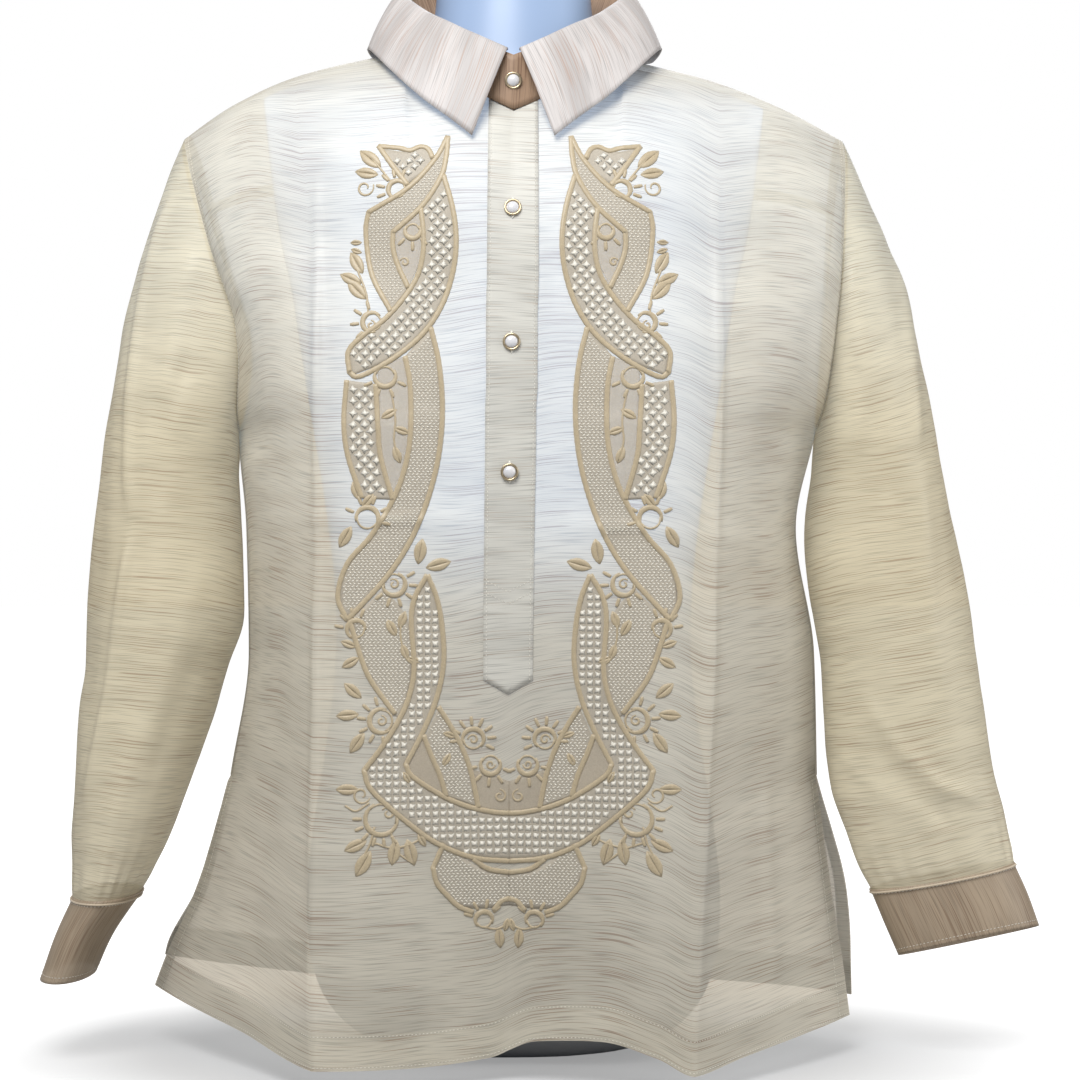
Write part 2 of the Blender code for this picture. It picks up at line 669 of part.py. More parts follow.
def placket(front_grid):
    """The strip over the front's opening, laid on the front's own points, with a pointed end."""
    spans = columns(COLUMNS)
    chosen = [spans.index(span) for span in PLACKET_COLUMNS]
    unit_in = inner_grid(front_grid, 1.0, face=-1)

    def lifted(row, share, column, lift):
        """A point between a row and the next on a column, moved out from the front."""
        low, high = front_grid[row][column], front_grid[row + 1][column]
        normal = (low - unit_in[row][column]).lerp(high - unit_in[row + 1][column], share)
        return low.lerp(high, share) + normal.normalized() * lift

    def height_share(row, column, z):
        """Share of the way from a row to the next at which a column reaches a height."""
        low, high = front_grid[row][column].z, front_grid[row + 1][column].z
        return (z - low) / (high - low)

    middle = chosen[1]
    first = max(r for r, row in enumerate(front_grid) if row[middle].z < PLACKET_TIP_Z)
    last = len(front_grid) - 2
    end_heights = (PLACKET_CORNER_Z, PLACKET_TIP_Z, PLACKET_CORNER_Z)
    stations = [[(first, height_share(first, c, z)) for c, z in zip(chosen, end_heights)]]
    stations += [[(row, 0.0)] * 3 for row in range(first + 1, last + 1)]
    stations.append([(last, PLACKET_TOP)] * 3)
    outer_side, inner_side = [], []
    for station in stations:
        places = [(row, share, c) for (row, share), c in zip(station, chosen)]
        outer_side.append([lifted(*place, SEAM + WALL) for place in places])
        inner_side.append([lifted(*place, SEAM) for place in places])
    add_wall("placket", outer_side, inner_side, "placket")
    return outer_side


def turned(name, profile, place, axis, look):
    """A turned solid whose profile of radius and height, in millimetres, runs from axis to axis."""
    turn = Vector((0, 0, 1)).rotation_difference(axis)
    points, rings = [], []
    for radius, height in profile:
        if radius == 0:
            rings.append([len(points)])
            points.append(Vector((0, 0, height)))
            continue
        rings.append([len(points) + i for i in range(BUTTON_SIDES)])
        for i in range(BUTTON_SIDES):
            angle = 2 * math.pi * i / BUTTON_SIDES
            points.append(Vector((radius * math.cos(angle), radius * math.sin(angle), height)))
    faces = []
    for low, high in zip(rings, rings[1:]):
        for i in range(BUTTON_SIDES):
            n = (i + 1) % BUTTON_SIDES
            if len(low) == 1:
                faces.append((low[0], high[i], high[n]))
            elif len(high) == 1:
                faces.append((low[n], low[i], high[0]))
            else:
                faces += quad(low[i], high[i], high[n], low[n])
    add_object(name, [place + turn @ (p * MM) for p in points], faces, look)


def button(name, place, axis):
    """A pearl dome set in a thin metal cup, a seam's gap off what it is sewn to."""
    base = place + axis * SEAM
    turned(f"{name}_rim", CUP, base, axis, "gilt")
    turned(f"{name}_pearl", PEARL, base, axis, "pearl")


def section_face(sections, height, first, last):
    """Middle and outward direction of a lofted band's outer face at a height."""
    for low, high in zip(sections, sections[1:]):
        a, b = low[first], high[first]
        if a.z <= height <= b.z:
            share = (height - a.z) / (b.z - a.z)
            across = low[last] - low[0]
            return a.lerp(b, share), across.cross(high[first] - low[first]).normalized()
    raise ValueError("no such height on this band")


def front_buttons(placket_sections, stand_sections):
    """One button on the stand's lap and three down the placket."""
    for i, height in enumerate(BUTTON_HEIGHTS, start=1):
        place, axis = section_face(placket_sections, height * MM, 1, 2)
        button(f"button_{i}", place, axis)
    lap = stand_sections[-2]
    low, high = lap[1], lap[2]
    share = (STAND_BUTTON_Z - low.z) / (high.z - low.z)
    across = stand_sections[-1][1] - stand_sections[-3][1]
    axis = (high - low).cross(across).normalized()
    button("button_neck", low.lerp(high, share), axis if axis.y < 0 else -axis)


def cuff_button(name, cuff):
    """The button that closes a cuff, on its outer side towards the back."""
    count = len(cuff[0])
    i = int(count * CUFF_BUTTON_TURN)
    low, high = cuff[1][i], cuff[0][i]
    place = low.lerp(high, CUFF_BUTTON_SHARE)
    around = cuff[1][i - 1] - cuff[1][(i + 1) % count]
    axis = around.cross(high - low).normalized()
    middle = sum(cuff[1], Vector()) / count
    if axis.dot(place - middle) < 0:
        axis = -axis
    button(f"button_cuff_{name}", place + axis * SEAM, axis)


def form_point(face, span, level):
    """Point of the form's torso: level 0 is its base, 1 the start of its shoulders, 2 their ridge."""
    roll_z = read(FORM_SHOULDER, "span", "roll", span)
    if level <= 1:
        return form_ring(face, span, roll_z * level)
    low = form_ring(face, span, roll_z)
    share = abs(span - 2) / (NECK_END - 2)
    if share >= 1:
        x = read(FORM_SHOULDER, "span", "x", span)
        at = smooth(SHOULDER["x"], SHOULDER["span"], x / MM)
        at = min(at, NECK_START) if x < 0 else max(at, NECK_END)
        ridge = read(SHOULDER, "span", "z", at) - WALL - REST_GAP
        top, lean = Vector((x, 0, ridge)), 0.0
    else:
        turn = math.radians(smooth(FORM_NECK_BASE["share"], FORM_NECK_BASE["turn"], share))
        depth = FORM_NECK_FRONT if face < 0 else FORM_NECK_BACK
        height = read(FORM_NECK_BASE, "share", "front_z" if face < 0 else "back_z", share)
        x = math.copysign(FORM_NECK_WIDTH * math.sin(turn), span - 2)
        top = Vector((x, face * depth * math.cos(turn), height))
        lean = math.radians(FORM_NECK_LEAN * math.cos(turn))
    angle = lean + (math.pi / 2 - lean) * (2 - level)
    across = (math.sin(angle) - math.sin(lean)) / (1 - math.sin(lean))
    down = 1 - math.cos(angle) / math.cos(lean)
    drop = 1 - (math.cos(angle) / math.cos(lean)) ** FORM_SLOPE
    return Vector(
        (
            top.x + (low.x - top.x) * down,
            top.y + (low.y - top.y) * across,
            top.z + (low.z - top.z) * drop,
        )
    )


def form_ring(face, span, z):
    """Point of the form's torso at a height."""
    at = z / MM
    side, fold = read(FORM_RING, "z", "side_x", at), read(FORM_RING, "z", "fold_x", at)
    front, front_mid = read(FORM_RING, "z", "front_y", at), read(FORM_RING, "z", "front_mid_y", at)
    back, back_mid = read(FORM_RING, "z", "back_y", at), read(FORM_RING, "z", "back_mid_y", at)
    near, mid, far = (front, front_mid, back) if face < 0 else (back, back_mid, front)
    points = [
        Vector((-fold, far)), Vector((-side, 0)), Vector((-fold, near)), Vector((0, mid)),
        Vector((fold, near)), Vector((side, 0)), Vector((fold, far)),
    ]
    flat = spline(points, span, 0.0)
    return Vector((flat.x, flat.y, z))


def dress_form():
    """A smooth torso with a neck and no limbs, standing on its flat base."""
    points, index, faces = [], {}, []

    def place(point):
        """Number of a point, shared by the rows that meet there."""
        key = tuple(round(value, 6) for value in point)
        if key not in index:
            index[key] = len(points)
            points.append(point)
        return index[key]

    def strip(low, high):
        """Faces between two rows, leaving out those with no width."""
        for c in range(len(low) - 1):
            for face in quad(low[c], low[c + 1], high[c + 1], high[c]):
                if len(set(face)) == 3:
                    faces.append(face)

    spans, heights = columns(FORM_COLUMNS), levels(FORM_SHARES, ROLL_STEPS)
    bases = {}
    for face, order in ((-1, spans), (1, spans[::-1])):
        grid = [[place(form_point(face, span, level)) for span in order] for level in heights]
        for low, high in zip(grid, grid[1:]):
            strip(low, high)
        bases[face] = grid
    ring_base = bases[-1][0] + bases[1][0][1:]
    foot = place(Vector((0, FORM_FOOT_Y, 0)))
    for a, b in zip(ring_base, ring_base[1:]):
        faces.append((foot, b, a))
    start, end = spans.index(NECK_START), spans.index(NECK_END)
    front_neck = bases[-1][-1][start : end + 1]
    last = len(spans) - 1
    back_neck = bases[1][-1][last - end : last - start + 1]
    ring = front_neck + back_neck[1:]
    turns = [math.atan2(points[i].x / FORM_NECK_WIDTH, -points[i].y / FORM_NECK_FRONT) for i in ring]
    for row in range(len(FORM_NECK["z"])):
        z, half_x, front, back = (FORM_NECK[n][row] * MM for n in ("z", "half_x", "front", "back"))
        line = []
        for turn in turns:
            depth = front if math.cos(turn) > 0 else back
            line.append(place(Vector((half_x * math.sin(turn), -depth * math.cos(turn), z))))
        strip(ring, line)
        ring = line
    cap = place(Vector((0, FORM_CAP_Y, FORM_CAP_Z)))
    for a, b in zip(ring, ring[1:]):
        faces.append((a, b, cap))
    add_object("dress_form", points, faces, "form", smooth_angle=60)


def build():
    """Clears the scene and makes every piece."""
    for old in list(bpy.data.objects):
        bpy.data.objects.remove(old, do_unlink=True)
    front_grid = front_piece()
    back_grid = back_pieces()
    right = sleeve_and_cuff("right", -1, SLEEVE_RIGHT, front_grid, back_grid)
    left = sleeve_and_cuff("left", 1, SLEEVE_LEFT, front_grid, back_grid)
    stand_sections = collar_stand()
    collar_leaf()
    placket_sections = placket(front_grid)
    front_buttons(placket_sections, stand_sections)
    cuff_button("right", right)
    cuff_button("left", left)
    dress_form()


build()
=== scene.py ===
import math

import bpy
import numpy as np
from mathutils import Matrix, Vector, noise
from mathutils.bvhtree import BVHTree


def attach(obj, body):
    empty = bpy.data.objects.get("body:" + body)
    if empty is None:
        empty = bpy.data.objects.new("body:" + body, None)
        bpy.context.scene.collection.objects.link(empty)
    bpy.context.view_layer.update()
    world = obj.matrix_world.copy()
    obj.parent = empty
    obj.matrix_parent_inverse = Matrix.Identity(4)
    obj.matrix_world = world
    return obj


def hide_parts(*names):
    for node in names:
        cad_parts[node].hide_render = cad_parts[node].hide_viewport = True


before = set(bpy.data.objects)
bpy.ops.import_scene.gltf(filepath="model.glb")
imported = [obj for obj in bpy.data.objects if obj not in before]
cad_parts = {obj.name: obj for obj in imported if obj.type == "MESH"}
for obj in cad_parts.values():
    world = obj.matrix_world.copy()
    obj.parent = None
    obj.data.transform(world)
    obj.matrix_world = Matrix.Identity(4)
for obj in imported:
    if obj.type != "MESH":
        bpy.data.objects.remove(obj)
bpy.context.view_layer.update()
MM = 0.001

# ---------------------------------------------------------------------------------------------
# Studio. A level camera stands two metres off, in front of the hip, and sees the shirt from its
# hem to just above its collar. The floor is a white disc under a soft overhead light, with painted shade
# under the shirt.

camera_data = bpy.data.cameras.new("camera")
camera_data.sensor_width = 36.0
camera_data.lens = 86.83
camera = bpy.data.objects.new("camera", camera_data)
camera.location = (0.0213, -2.1, 0.41)
camera.rotation_euler = (math.radians(90), 0, 0)
bpy.context.scene.collection.objects.link(camera)
bpy.context.scene.camera = camera
bpy.context.scene.view_settings.view_transform = "Standard"


def deselect_all():
    """Leaves nothing selected and nothing active, before a new piece is made."""
    bpy.ops.object.select_all(action="DESELECT")
    bpy.context.view_layer.objects.active = None


def new_material(name, colour, roughness, **sockets):
    """A Principled material, its node tree and its shader."""
    material = bpy.data.materials.new(name)
    material.use_nodes = True
    shader = material.node_tree.nodes["Principled BSDF"]
    shader.inputs["Base Color"].default_value = (*colour, 1)
    shader.inputs["Roughness"].default_value = roughness
    for socket, value in sockets.items():
        shader.inputs[socket.replace("_", " ")].default_value = value
    return material, material.node_tree, shader


def add_node(tree, kind, inputs=(), **settings):
    """A node with its settings, whose inputs are set to values or linked to sockets."""
    node = tree.nodes.new("ShaderNode" + kind)
    for name, value in settings.items():
        setattr(node, name, value)
    for name, value in dict(inputs).items():
        if isinstance(value, bpy.types.NodeSocket):
            tree.links.new(value, node.inputs[name])
        else:
            node.inputs[name].default_value = value
    return node


def mixed(tree, share, first, second):
    """A mix of two colours, each three numbers or a socket."""
    first, second = (c if isinstance(c, bpy.types.NodeSocket) else (*c, 1) for c in (first, second))
    return add_node(tree, "Mix", {0: share, 6: first, 7: second}, data_type="RGBA").outputs[2]


def ramp(tree, value, low, high, first=0.0, last=1.0, kind="LINEAR"):
    """A value stretched so that low and high become first and last, and held beyond them."""
    inputs = {0: value, 1: low, 2: high, 3: first, 4: last}
    return add_node(tree, "MapRange", inputs, interpolation_type=kind).outputs["Result"]


def maths(tree, operation, first, second):
    """The result of one sum or comparison of two values."""
    return add_node(tree, "Math", {0: first, 1: second}, operation=operation).outputs["Value"]


def own_places(tree):
    """A piece's own coordinates, in metres."""
    return add_node(tree, "TexCoord").outputs["Object"]


def area_light(name, place, target, size, power):
    """A soft square light at a place, facing a target."""
    data = bpy.data.lights.new(name, "AREA")
    data.shape, data.size, data.energy = "SQUARE", size, power
    light = bpy.data.objects.new(name, data)
    light.location = place
    light.rotation_mode = "QUATERNION"
    light.rotation_quaternion = (Vector(place) - Vector(target)).to_track_quat("Z", "Y")
    bpy.context.scene.collection.objects.link(light)


area_light("key_light", (-0.4, -1.3, 1.9), (0, 0, 0.68), 1.1, 41)
area_light("fill_light", (2.1, -0.7, 0.8), (0.25, 0, 0.5), 1.4, 15)
area_light("back_light", (0.3, 2.0, 1.7), (0, 0, 0.5), 1.6, 24)

WHITE = (1, 1, 1)
# Seen through the cloth, the white surroundings count as a room that is bright above and dim below.
ROOM_LOW, ROOM_HIGH = (0.65, 0.49, 0.31), (0.98, 1.1, 1.28)
# Painted shade: the floor seen through the cloth glows a dim warm colour, standing in for the shade under the
# shirt.
FLOOR_PAINTED_SHADE = (0.47, 0.38, 0.26)
ROOM_LIGHT = 0.28  # strength of the surroundings as a light on the shirt

world = bpy.data.worlds.new("studio")
bpy.context.scene.world = world
world.cycles.sampling_method = "NONE"
world.use_nodes = True
tree, sky = world.node_tree, world.node_tree.nodes["Background"]
seen = add_node(tree, "LightPath")
tree.links.new(ramp(tree, seen.outputs["Is Camera Ray"], 0, 1, ROOM_LIGHT, 1), sky.inputs["Strength"])
way_up = add_node(tree, "SeparateXYZ", {0: own_places(tree)}).outputs["Z"]
room = mixed(tree, ramp(tree, way_up, 0.03, 0.13, kind="SMOOTHSTEP"), ROOM_LOW, ROOM_HIGH)
direct = maths(tree, "LESS_THAN", seen.outputs["Transparent Depth"], 0.5)
tree.links.new(mixed(tree, direct, room, WHITE), sky.inputs["Color"])

deselect_all()
bpy.ops.mesh.primitive_circle_add(vertices=96, radius=14, fill_type="NGON", location=(0, 0, -0.3 * MM))
bpy.ops.object.transform_apply()
floor = bpy.context.active_object
floor.name = "floor"
floor_material, tree, shader = new_material("floor_white_painted_shade", (0.38, 0.38, 0.38), 0.9)
seen = add_node(tree, "LightPath")
# Painted shadow: the floor's own glow is dimmer in an oval under the shirt, standing in for its soft shade.
oval = add_node(tree, "VectorMath", {0: own_places(tree), 1: (0.62, 1, 1)}, operation="MULTIPLY")
away = add_node(tree, "VectorMath", {0: oval.outputs["Vector"]}, operation="LENGTH")
shade = ramp(tree, away.outputs["Value"], 0.16, 0.34, 0.30, 0.93, kind="SMOOTHSTEP")
glow = maths(tree, "MULTIPLY", seen.outputs["Is Camera Ray"], shade)
tree.links.new(glow, shader.inputs["Emission Strength"])
# Seen through the cloth, the floor glows in its painted shade colour instead of white.
direct = maths(tree, "LESS_THAN", seen.outputs["Transparent Depth"], 0.5)
tree.links.new(mixed(tree, direct, FLOOR_PAINTED_SHADE, WHITE), shader.inputs["Emission Color"])
floor_material.cycles.emission_sampling = "NONE"
floor.data.materials.append(floor_material)

# ---------------------------------------------------------------------------------------------
# Dress form. A limbless hip-length torso in smooth pale blue satin plastic. It is the packed
# solid's own skin, with its triangles joined into squares and rounded by subdivision.

# Below the waist the form is painted warm grey in place of its blue: a painted shade for the dimmer light
# there, where the blue should not show.
FORM_BLUE, FORM_LOW_PAINTED_SHADE = (0.12, 0.17, 0.28), (0.33, 0.32, 0.31)  # above and below the waist
FORM_GLOW = (0.55, 0.71, 0.95)  # stands in for the light of the room that the form scatters


def new_object(name, mesh):
    """An object made from a mesh, which becomes the active one."""
    piece = bpy.data.objects.new(name, mesh)
    bpy.context.scene.collection.objects.link(piece)
    deselect_all()
    bpy.context.view_layer.objects.active = piece
    return piece


form = new_object("torso_form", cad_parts["dress_form"].data.copy())
form.data.materials.clear()
form.select_set(True)
bpy.ops.object.mode_set(mode="EDIT")
bpy.ops.mesh.select_all(action="SELECT")
bpy.ops.mesh.remove_doubles(threshold=0.00001)
bpy.ops.mesh.tris_convert_to_quads(face_threshold=math.radians(60), shape_threshold=math.radians(60))
bpy.ops.object.mode_set(mode="OBJECT")
rounding = form.modifiers.new("rounding", "SUBSURF")
rounding.levels = rounding.render_levels = 2
bpy.ops.object.modifier_apply(modifier=rounding.name)
form.data.shade_smooth()

form_material, tree, shader = new_material(
    "form_satin_plastic", FORM_BLUE, roughness=0.42, Coat_Weight=0.15, Coat_Roughness=0.3,
    Emission_Color=(*FORM_GLOW, 1),
)
height = add_node(tree, "SeparateXYZ", {0: own_places(tree)}).outputs["Z"]
# The painted shade takes over from the blue below the waist.
upper = ramp(tree, height, 0.33, 0.45, kind="SMOOTHSTEP")
tree.links.new(mixed(tree, upper, FORM_LOW_PAINTED_SHADE, FORM_BLUE), shader.inputs["Base Color"])
# The glow is strong behind the chest, dimmer on the bare neck and faint below the waist.
chest_glow = ramp(tree, height, 0.74, 0.80, 1.14, 0.45, kind="SMOOTHSTEP")
lower_glow = ramp(tree, height, 0.08, 0.33, 0.02, 0.20)
facing = add_node(tree, "LayerWeight", {"Blend": 0.5})
edge_fall = ramp(tree, facing.outputs["Facing"], 0.25, 0.95, 1.0, 0.25)
glow = maths(tree, "MULTIPLY", ramp(tree, upper, 0, 1, lower_glow, chest_glow), edge_fall)
tree.links.new(glow, shader.inputs["Emission Strength"])
form_material.cycles.emission_sampling = "NONE"
form.data.materials.append(form_material)
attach(form, "root")
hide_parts("dress_form")

# ---------------------------------------------------------------------------------------------
# Front. One length of sheer jusi cloth, cut whole, with its opening under the placket. It hangs
# from the shoulders and stands off the form below the chest, ironed flat between two upright folds.

SPANS = 4  # a panel runs side, pressed fold, middle, pressed fold, side
SLIT_Z, UNDERARM_Z = 220 * MM, 497 * MM
UNDERARM, ROLL, TOP = 2, 3, 4  # levels up a panel, from 0 at the hem and 1 at the slit
SEAM = 0.3 * MM  # gap between two pieces at a seam
NECK_HALF_WIDTH, NECK_FRONT, NECK_BACK = 85 * MM, 95 * MM, 70 * MM
NECK_X, NECK_TILT = 1 * MM, 3 * MM
CLOTH = 0.4 * MM  # thickness of one layer, as the layers are spaced
PANEL_SPANS = np.linspace(0, SPANS, 161)
ROWS = (33, 46, 22, 36)  # steps of the net of points in each zone between two levels
PANEL_LEVELS = np.concatenate(
    [np.linspace(zone, zone + 1, count + 1)[:-1] for zone, count in enumerate(ROWS)] + [[TOP]]
)


def table(names, *rows):
    """Columns by name, from rows of numbers."""
    return {name: [row[i] for row in rows] for i, name in enumerate(names.split())}


FRONT_RING = table(
    "z side_r_x side_r_y fold_r_x fold_r_y mid_x mid_y fold_l_x fold_l_y side_l_x side_l_y press",
    (10, -308, 41, -148, -170, -3, -124, 136, -170, 272, -18, 0.85),
    (70, -285, 35, -148, -168, -3, -127, 137, -168, 265, -8, 0.80),
    (120, -262, 29, -148, -166, -3, -130, 139, -165, 258, 0, 0.72),
    (220, -229, 10, -147, -158, -3, -136, 145, -158, 245, 8, 0.55),
    (320, -213, 0, -146, -150, -3, -140, 150, -150, 242, 3, 0.40),
    (420, -215, 0, -145, -144, -2, -143, 153, -142, 227, 0, 0.30),
    (497, -221, 0, -146, -138, -1, -144, 156, -136, 243, 0, 0.20),
    (508, -220, -24, -146, -137, -1, -144, 156, -135, 245, -24, 0.18),
    (525, -218, -38, -147, -136, 0, -144, 157, -134, 248, -38, 0.16),
    (550, -216, -49, -147, -133, 0, -143, 157, -131, 251, -49, 0.14),
    (580, -218, -55, -148, -127, 0, -141, 157, -125, 254, -55, 0.12),
    (610, -227, -57, -150, -118, 1, -138, 158, -116, 257, -57, 0.10),
    (645, -240, -58, -152, -104, 1, -130, 158, -102, 259, -58, 0.10),
)
BACK_RING = table(
    "z side_r_x side_r_y fold_r_x fold_r_y mid_x mid_y fold_l_x fold_l_y side_l_x side_l_y press",
    (10, -300, 84, -142, 164, 0, 148, 142, 164, 279, 46, 0.50),
    (70, -291, 76, -141, 161, 0, 147, 142, 160, 277, 42, 0.48),
    (120, -264, 60, -140, 157, 0, 146, 142, 156, 273, 34, 0.42),
    (220, -229, 10, -139, 150, 0, 143, 143, 150, 245, 8, 0.30),
    (320, -213, 0, -138, 142, 0, 139, 143, 142, 242, 3, 0.20),
    (420, -215, 0, -136, 135, 0, 135, 142, 134, 227, 0, 0.10),
    (497, -221, 0, -136, 131, 0, 133, 140, 130, 243, 0, 0.0),
    (508, -220, 24, -136, 130, 0, 133, 140, 129, 245, 24, 0.0),
    (525, -218, 38, -136, 129, 0, 132, 140, 128, 248, 38, 0.0),
    (550, -216, 49, -136, 127, 0, 131, 140, 127, 251, 49, 0.0),
    (580, -218, 55, -137, 123, 0, 130, 140, 123, 254, 55, 0.0),
    (610, -227, 57, -140, 114, 0, 128, 142, 114, 257, 57, 0.0),
    (645, -240, 58, -144, 101, 0, 122, 146, 101, 259, 58, 0.0),
)
HEM = table(
    "span front back",
    (0.0, 45, 64),
    (0.6, 31, 42),
    (1.0, 16, 30),
    (1.5, 14, 26),
    (1.9, 18, 25),
    (2.15, 31, 25),
    (2.5, 34, 26),
    (2.8, 24, 28),
    (3.0, 12, 30),
    (3.3, 19, 32),
    (4.0, 30, 36),
)
SHOULDER = table(
    "span x z front_roll back_roll",
    (0.0, -264, 733, 633, 633),
    (0.5, -220, 761.5, 640, 640),
    (1.0, -175, 782, 640, 640),
    (1.5, -85, 803, 615, 625),
    (2.0, 2, 824, 600, 620),
    (2.5, 87, 797, 613, 624),
    (3.0, 163, 777, 636, 636),
    (3.5, 214, 757, 638, 638),
    (4.0, 264, 731, 631, 631),
)
NECKLINE = table(
    "share turn front_z back_z",
    (0.0, 0, 742, 822),
    (0.25, 13, 751, 821),
    (0.5, 33, 767, 818),
    (0.75, 58, 783, 812),
    (1.0, 90, 800, 800),
)
# Each panel: its own ring and the other's, the way it faces, and its neckline's depth and lean in degrees.
PANEL_NAMES = ("ring", "other", "side", "face", "depth", "lean")
FRONT = dict(zip(PANEL_NAMES, (FRONT_RING, BACK_RING, "front", -1, NECK_FRONT, 45.0)))
BACK = dict(zip(PANEL_NAMES, (BACK_RING, FRONT_RING, "back", 1, NECK_BACK, 33.0)))


def smooth(knots, values, at):
    """Values at `at` on the curve through knots and values, with no overshoot between them."""
    knots, values = np.array(knots, float), np.array(values, float)
    at = np.clip(at, knots[0], knots[-1])
    i = np.clip(np.searchsorted(knots, at, side="right") - 1, 0, len(knots) - 2)
    width = np.diff(knots)
    slope = np.diff(values) / width
    before, after = slope[:-1], slope[1:]
    turning = before * after <= 0
    meeting = 2 * before * after / np.where(turning, 1, before + after)
    tangent = np.concatenate([slope[:1], np.where(turning, 0, meeting), slope[-1:]])
    t = (at - knots[i]) / width[i]
    return (
        values[i] * (1 + 2 * t) * (1 - t) ** 2
        + values[i + 1] * t * t * (3 - 2 * t)
        + width[i] * t * (1 - t) * (tangent[i] * (1 - t) - tangent[i + 1] * t)
    )


def read(source, key, name, at):
    """A column of a table at places between its rows, in metres."""
    return smooth(source[key], source[name], at) * MM


def ring_points(ring, z):
    """The five points of a panel's ring at each height, from the wearer's right to the left."""
    slit = ring["z"].index(round(SLIT_Z / MM))
    below = {name: column[: slit + 1] for name, column in ring.items()}
    above = {name: column[slit:] for name, column in ring.items()}
    found = []
    for name in ("side_r", "fold_r", "mid", "fold_l", "side_l"):
        for axis in "xy":
            column = f"{name}_{axis}"
            if name.startswith("side"):
                upper, lower = read(above, "z", column, z / MM), read(below, "z", column, z / MM)
                found.append(np.where(z >= SLIT_Z, upper, lower))
            else:
                found.append(read(ring, "z", column, z / MM))
    return np.stack(found, axis=-1).reshape(*z.shape, 5, 2)


def ring_point(panel, span, z):
    """Points of a panel at given heights, rounded at its sides as if it ran on into the other panel."""
    own, other = ring_points(panel["ring"], z), ring_points(panel["other"], z)
    press = smooth(panel["ring"]["z"], panel["ring"]["press"], z / MM)[..., None]
    around = np.concatenate([other[..., 1:2, :], own, other[..., 3:4, :]], axis=-2)
    i = np.minimum(span.astype(int), SPANS - 1)
    t = (span - i)[..., None]
    picked = [np.take_along_axis(around, (i + k)[..., None, None], axis=-2)[..., 0, :] for k in range(4)]
    before, start, end, after = picked
    curve = (
        2 * start
        + (end - before) * t
        + (2 * before - 5 * start + 4 * end - after) * t * t
        + (3 * start - before - 3 * end + after) * t**3
    ) / 2
    flat = curve + (start + (end - start) * t - curve) * press
    return np.concatenate([flat, z[..., None]], axis=-1)


def top_edge(panel, span):
    """Upper end of a panel's columns, and the cloth's slope there in radians."""
    share = np.abs(span - 2) * 2
    turn = np.radians(np.where(share < 1, smooth(NECKLINE["share"], NECKLINE["turn"], share), 90.0))
    neck_x = NECK_X + np.sign(span - 2) * NECK_HALF_WIDTH * np.sin(turn)
    neck_y = panel["face"] * (panel["depth"] * np.cos(turn) + SEAM / 2)
    neck_z = read(NECKLINE, "turn", panel["side"] + "_z", np.degrees(turn))
    neck_z = neck_z - NECK_TILT * neck_x / NECK_HALF_WIDTH
    ridge_x, ridge_z = read(SHOULDER, "span", "x", span), read(SHOULDER, "span", "z", span)
    inside = share < 1
    x, z = np.where(inside, neck_x, ridge_x), np.where(inside, neck_z, ridge_z)
    y = np.where(inside, neck_y, panel["face"] * SEAM / 2)
    return np.stack([x, y, z], axis=-1), np.radians(panel["lean"]) * np.cos(turn) * inside


def panel_points(panel, span, level):
    """Points of a panel at spans across it and levels up it."""
    roll_z = read(SHOULDER, "span", panel["side"] + "_roll", span)
    hem_z = read(HEM, "span", panel["side"], span)
    heights = [hem_z, np.full_like(span, SLIT_Z), np.full_like(span, UNDERARM_Z), roll_z]
    zone = np.clip(level.astype(int), 0, ROLL - 1)
    low_z, high_z = np.choose(zone, heights[:-1]), np.choose(zone, heights[1:])
    hanging = ring_point(panel, span, low_z + (high_z - low_z) * np.minimum(level - zone, 1))
    low = ring_point(panel, span, roll_z)
    top, lean = top_edge(panel, span)
    angle = lean + (math.pi / 2 - lean) * (TOP - level)
    across = (np.sin(angle) - np.sin(lean)) / (1 - np.sin(lean))
    down = 1 - np.cos(angle) / np.cos(lean)
    rolling = top + (low - top) * np.stack([down, across, down], axis=-1)
    return np.where((level <= ROLL)[..., None], hanging, rolling)


def unit(vectors):
    """The same directions with a length of 1."""
    return vectors / np.maximum(np.linalg.norm(vectors, axis=-1, keepdims=True), 1e-12)


def lengths(points, axis=0):
    """Distance of each point from the start of its line, along one axis of a grid."""
    steps = np.linalg.norm(np.diff(points, axis=axis), axis=-1)
    return np.concatenate([np.zeros_like(np.take(steps, [0], axis)), np.cumsum(steps, axis=axis)], axis=axis)


def normals(grid, face, cyclic=False):
    """Outward directions of a grid of points; face is 1 where across x up points outwards."""
    if cyclic:
        across = np.roll(grid, -1, axis=1) - np.roll(grid, 1, axis=1)
    else:
        across = np.gradient(grid, axis=1)
    return unit(np.cross(across, np.gradient(grid, axis=0)) * face)


def soften(grid, share, times=6):
    """Evens out a grid up its columns, by a share from 0 to 1 at each row."""
    for _ in range(times):
        middle = (grid[:-2] + grid[2:]) / 2
        grid[1:-1] += (middle - grid[1:-1]) * share[1:-1, None, None] / 2
    return grid


def panel_grid(panel):
    """A panel's smooth outer surface before it is creased."""
    level, span = np.meshgrid(PANEL_LEVELS, PANEL_SPANS, indexing="ij")
    grid = panel_points(panel, span, level)
    grid = soften(grid, np.exp(-(((PANEL_LEVELS - ROLL) / 0.25) ** 2)))
    for column in (0, -1):
        grid[:-1, column, 1] += panel["face"] * SEAM / 2
    return grid


CREASE_ENDS = 0.15  # share of a crease over which each end dies away
CREASE_UNEVEN = 0.35  # how much a crease's rise wanders along it


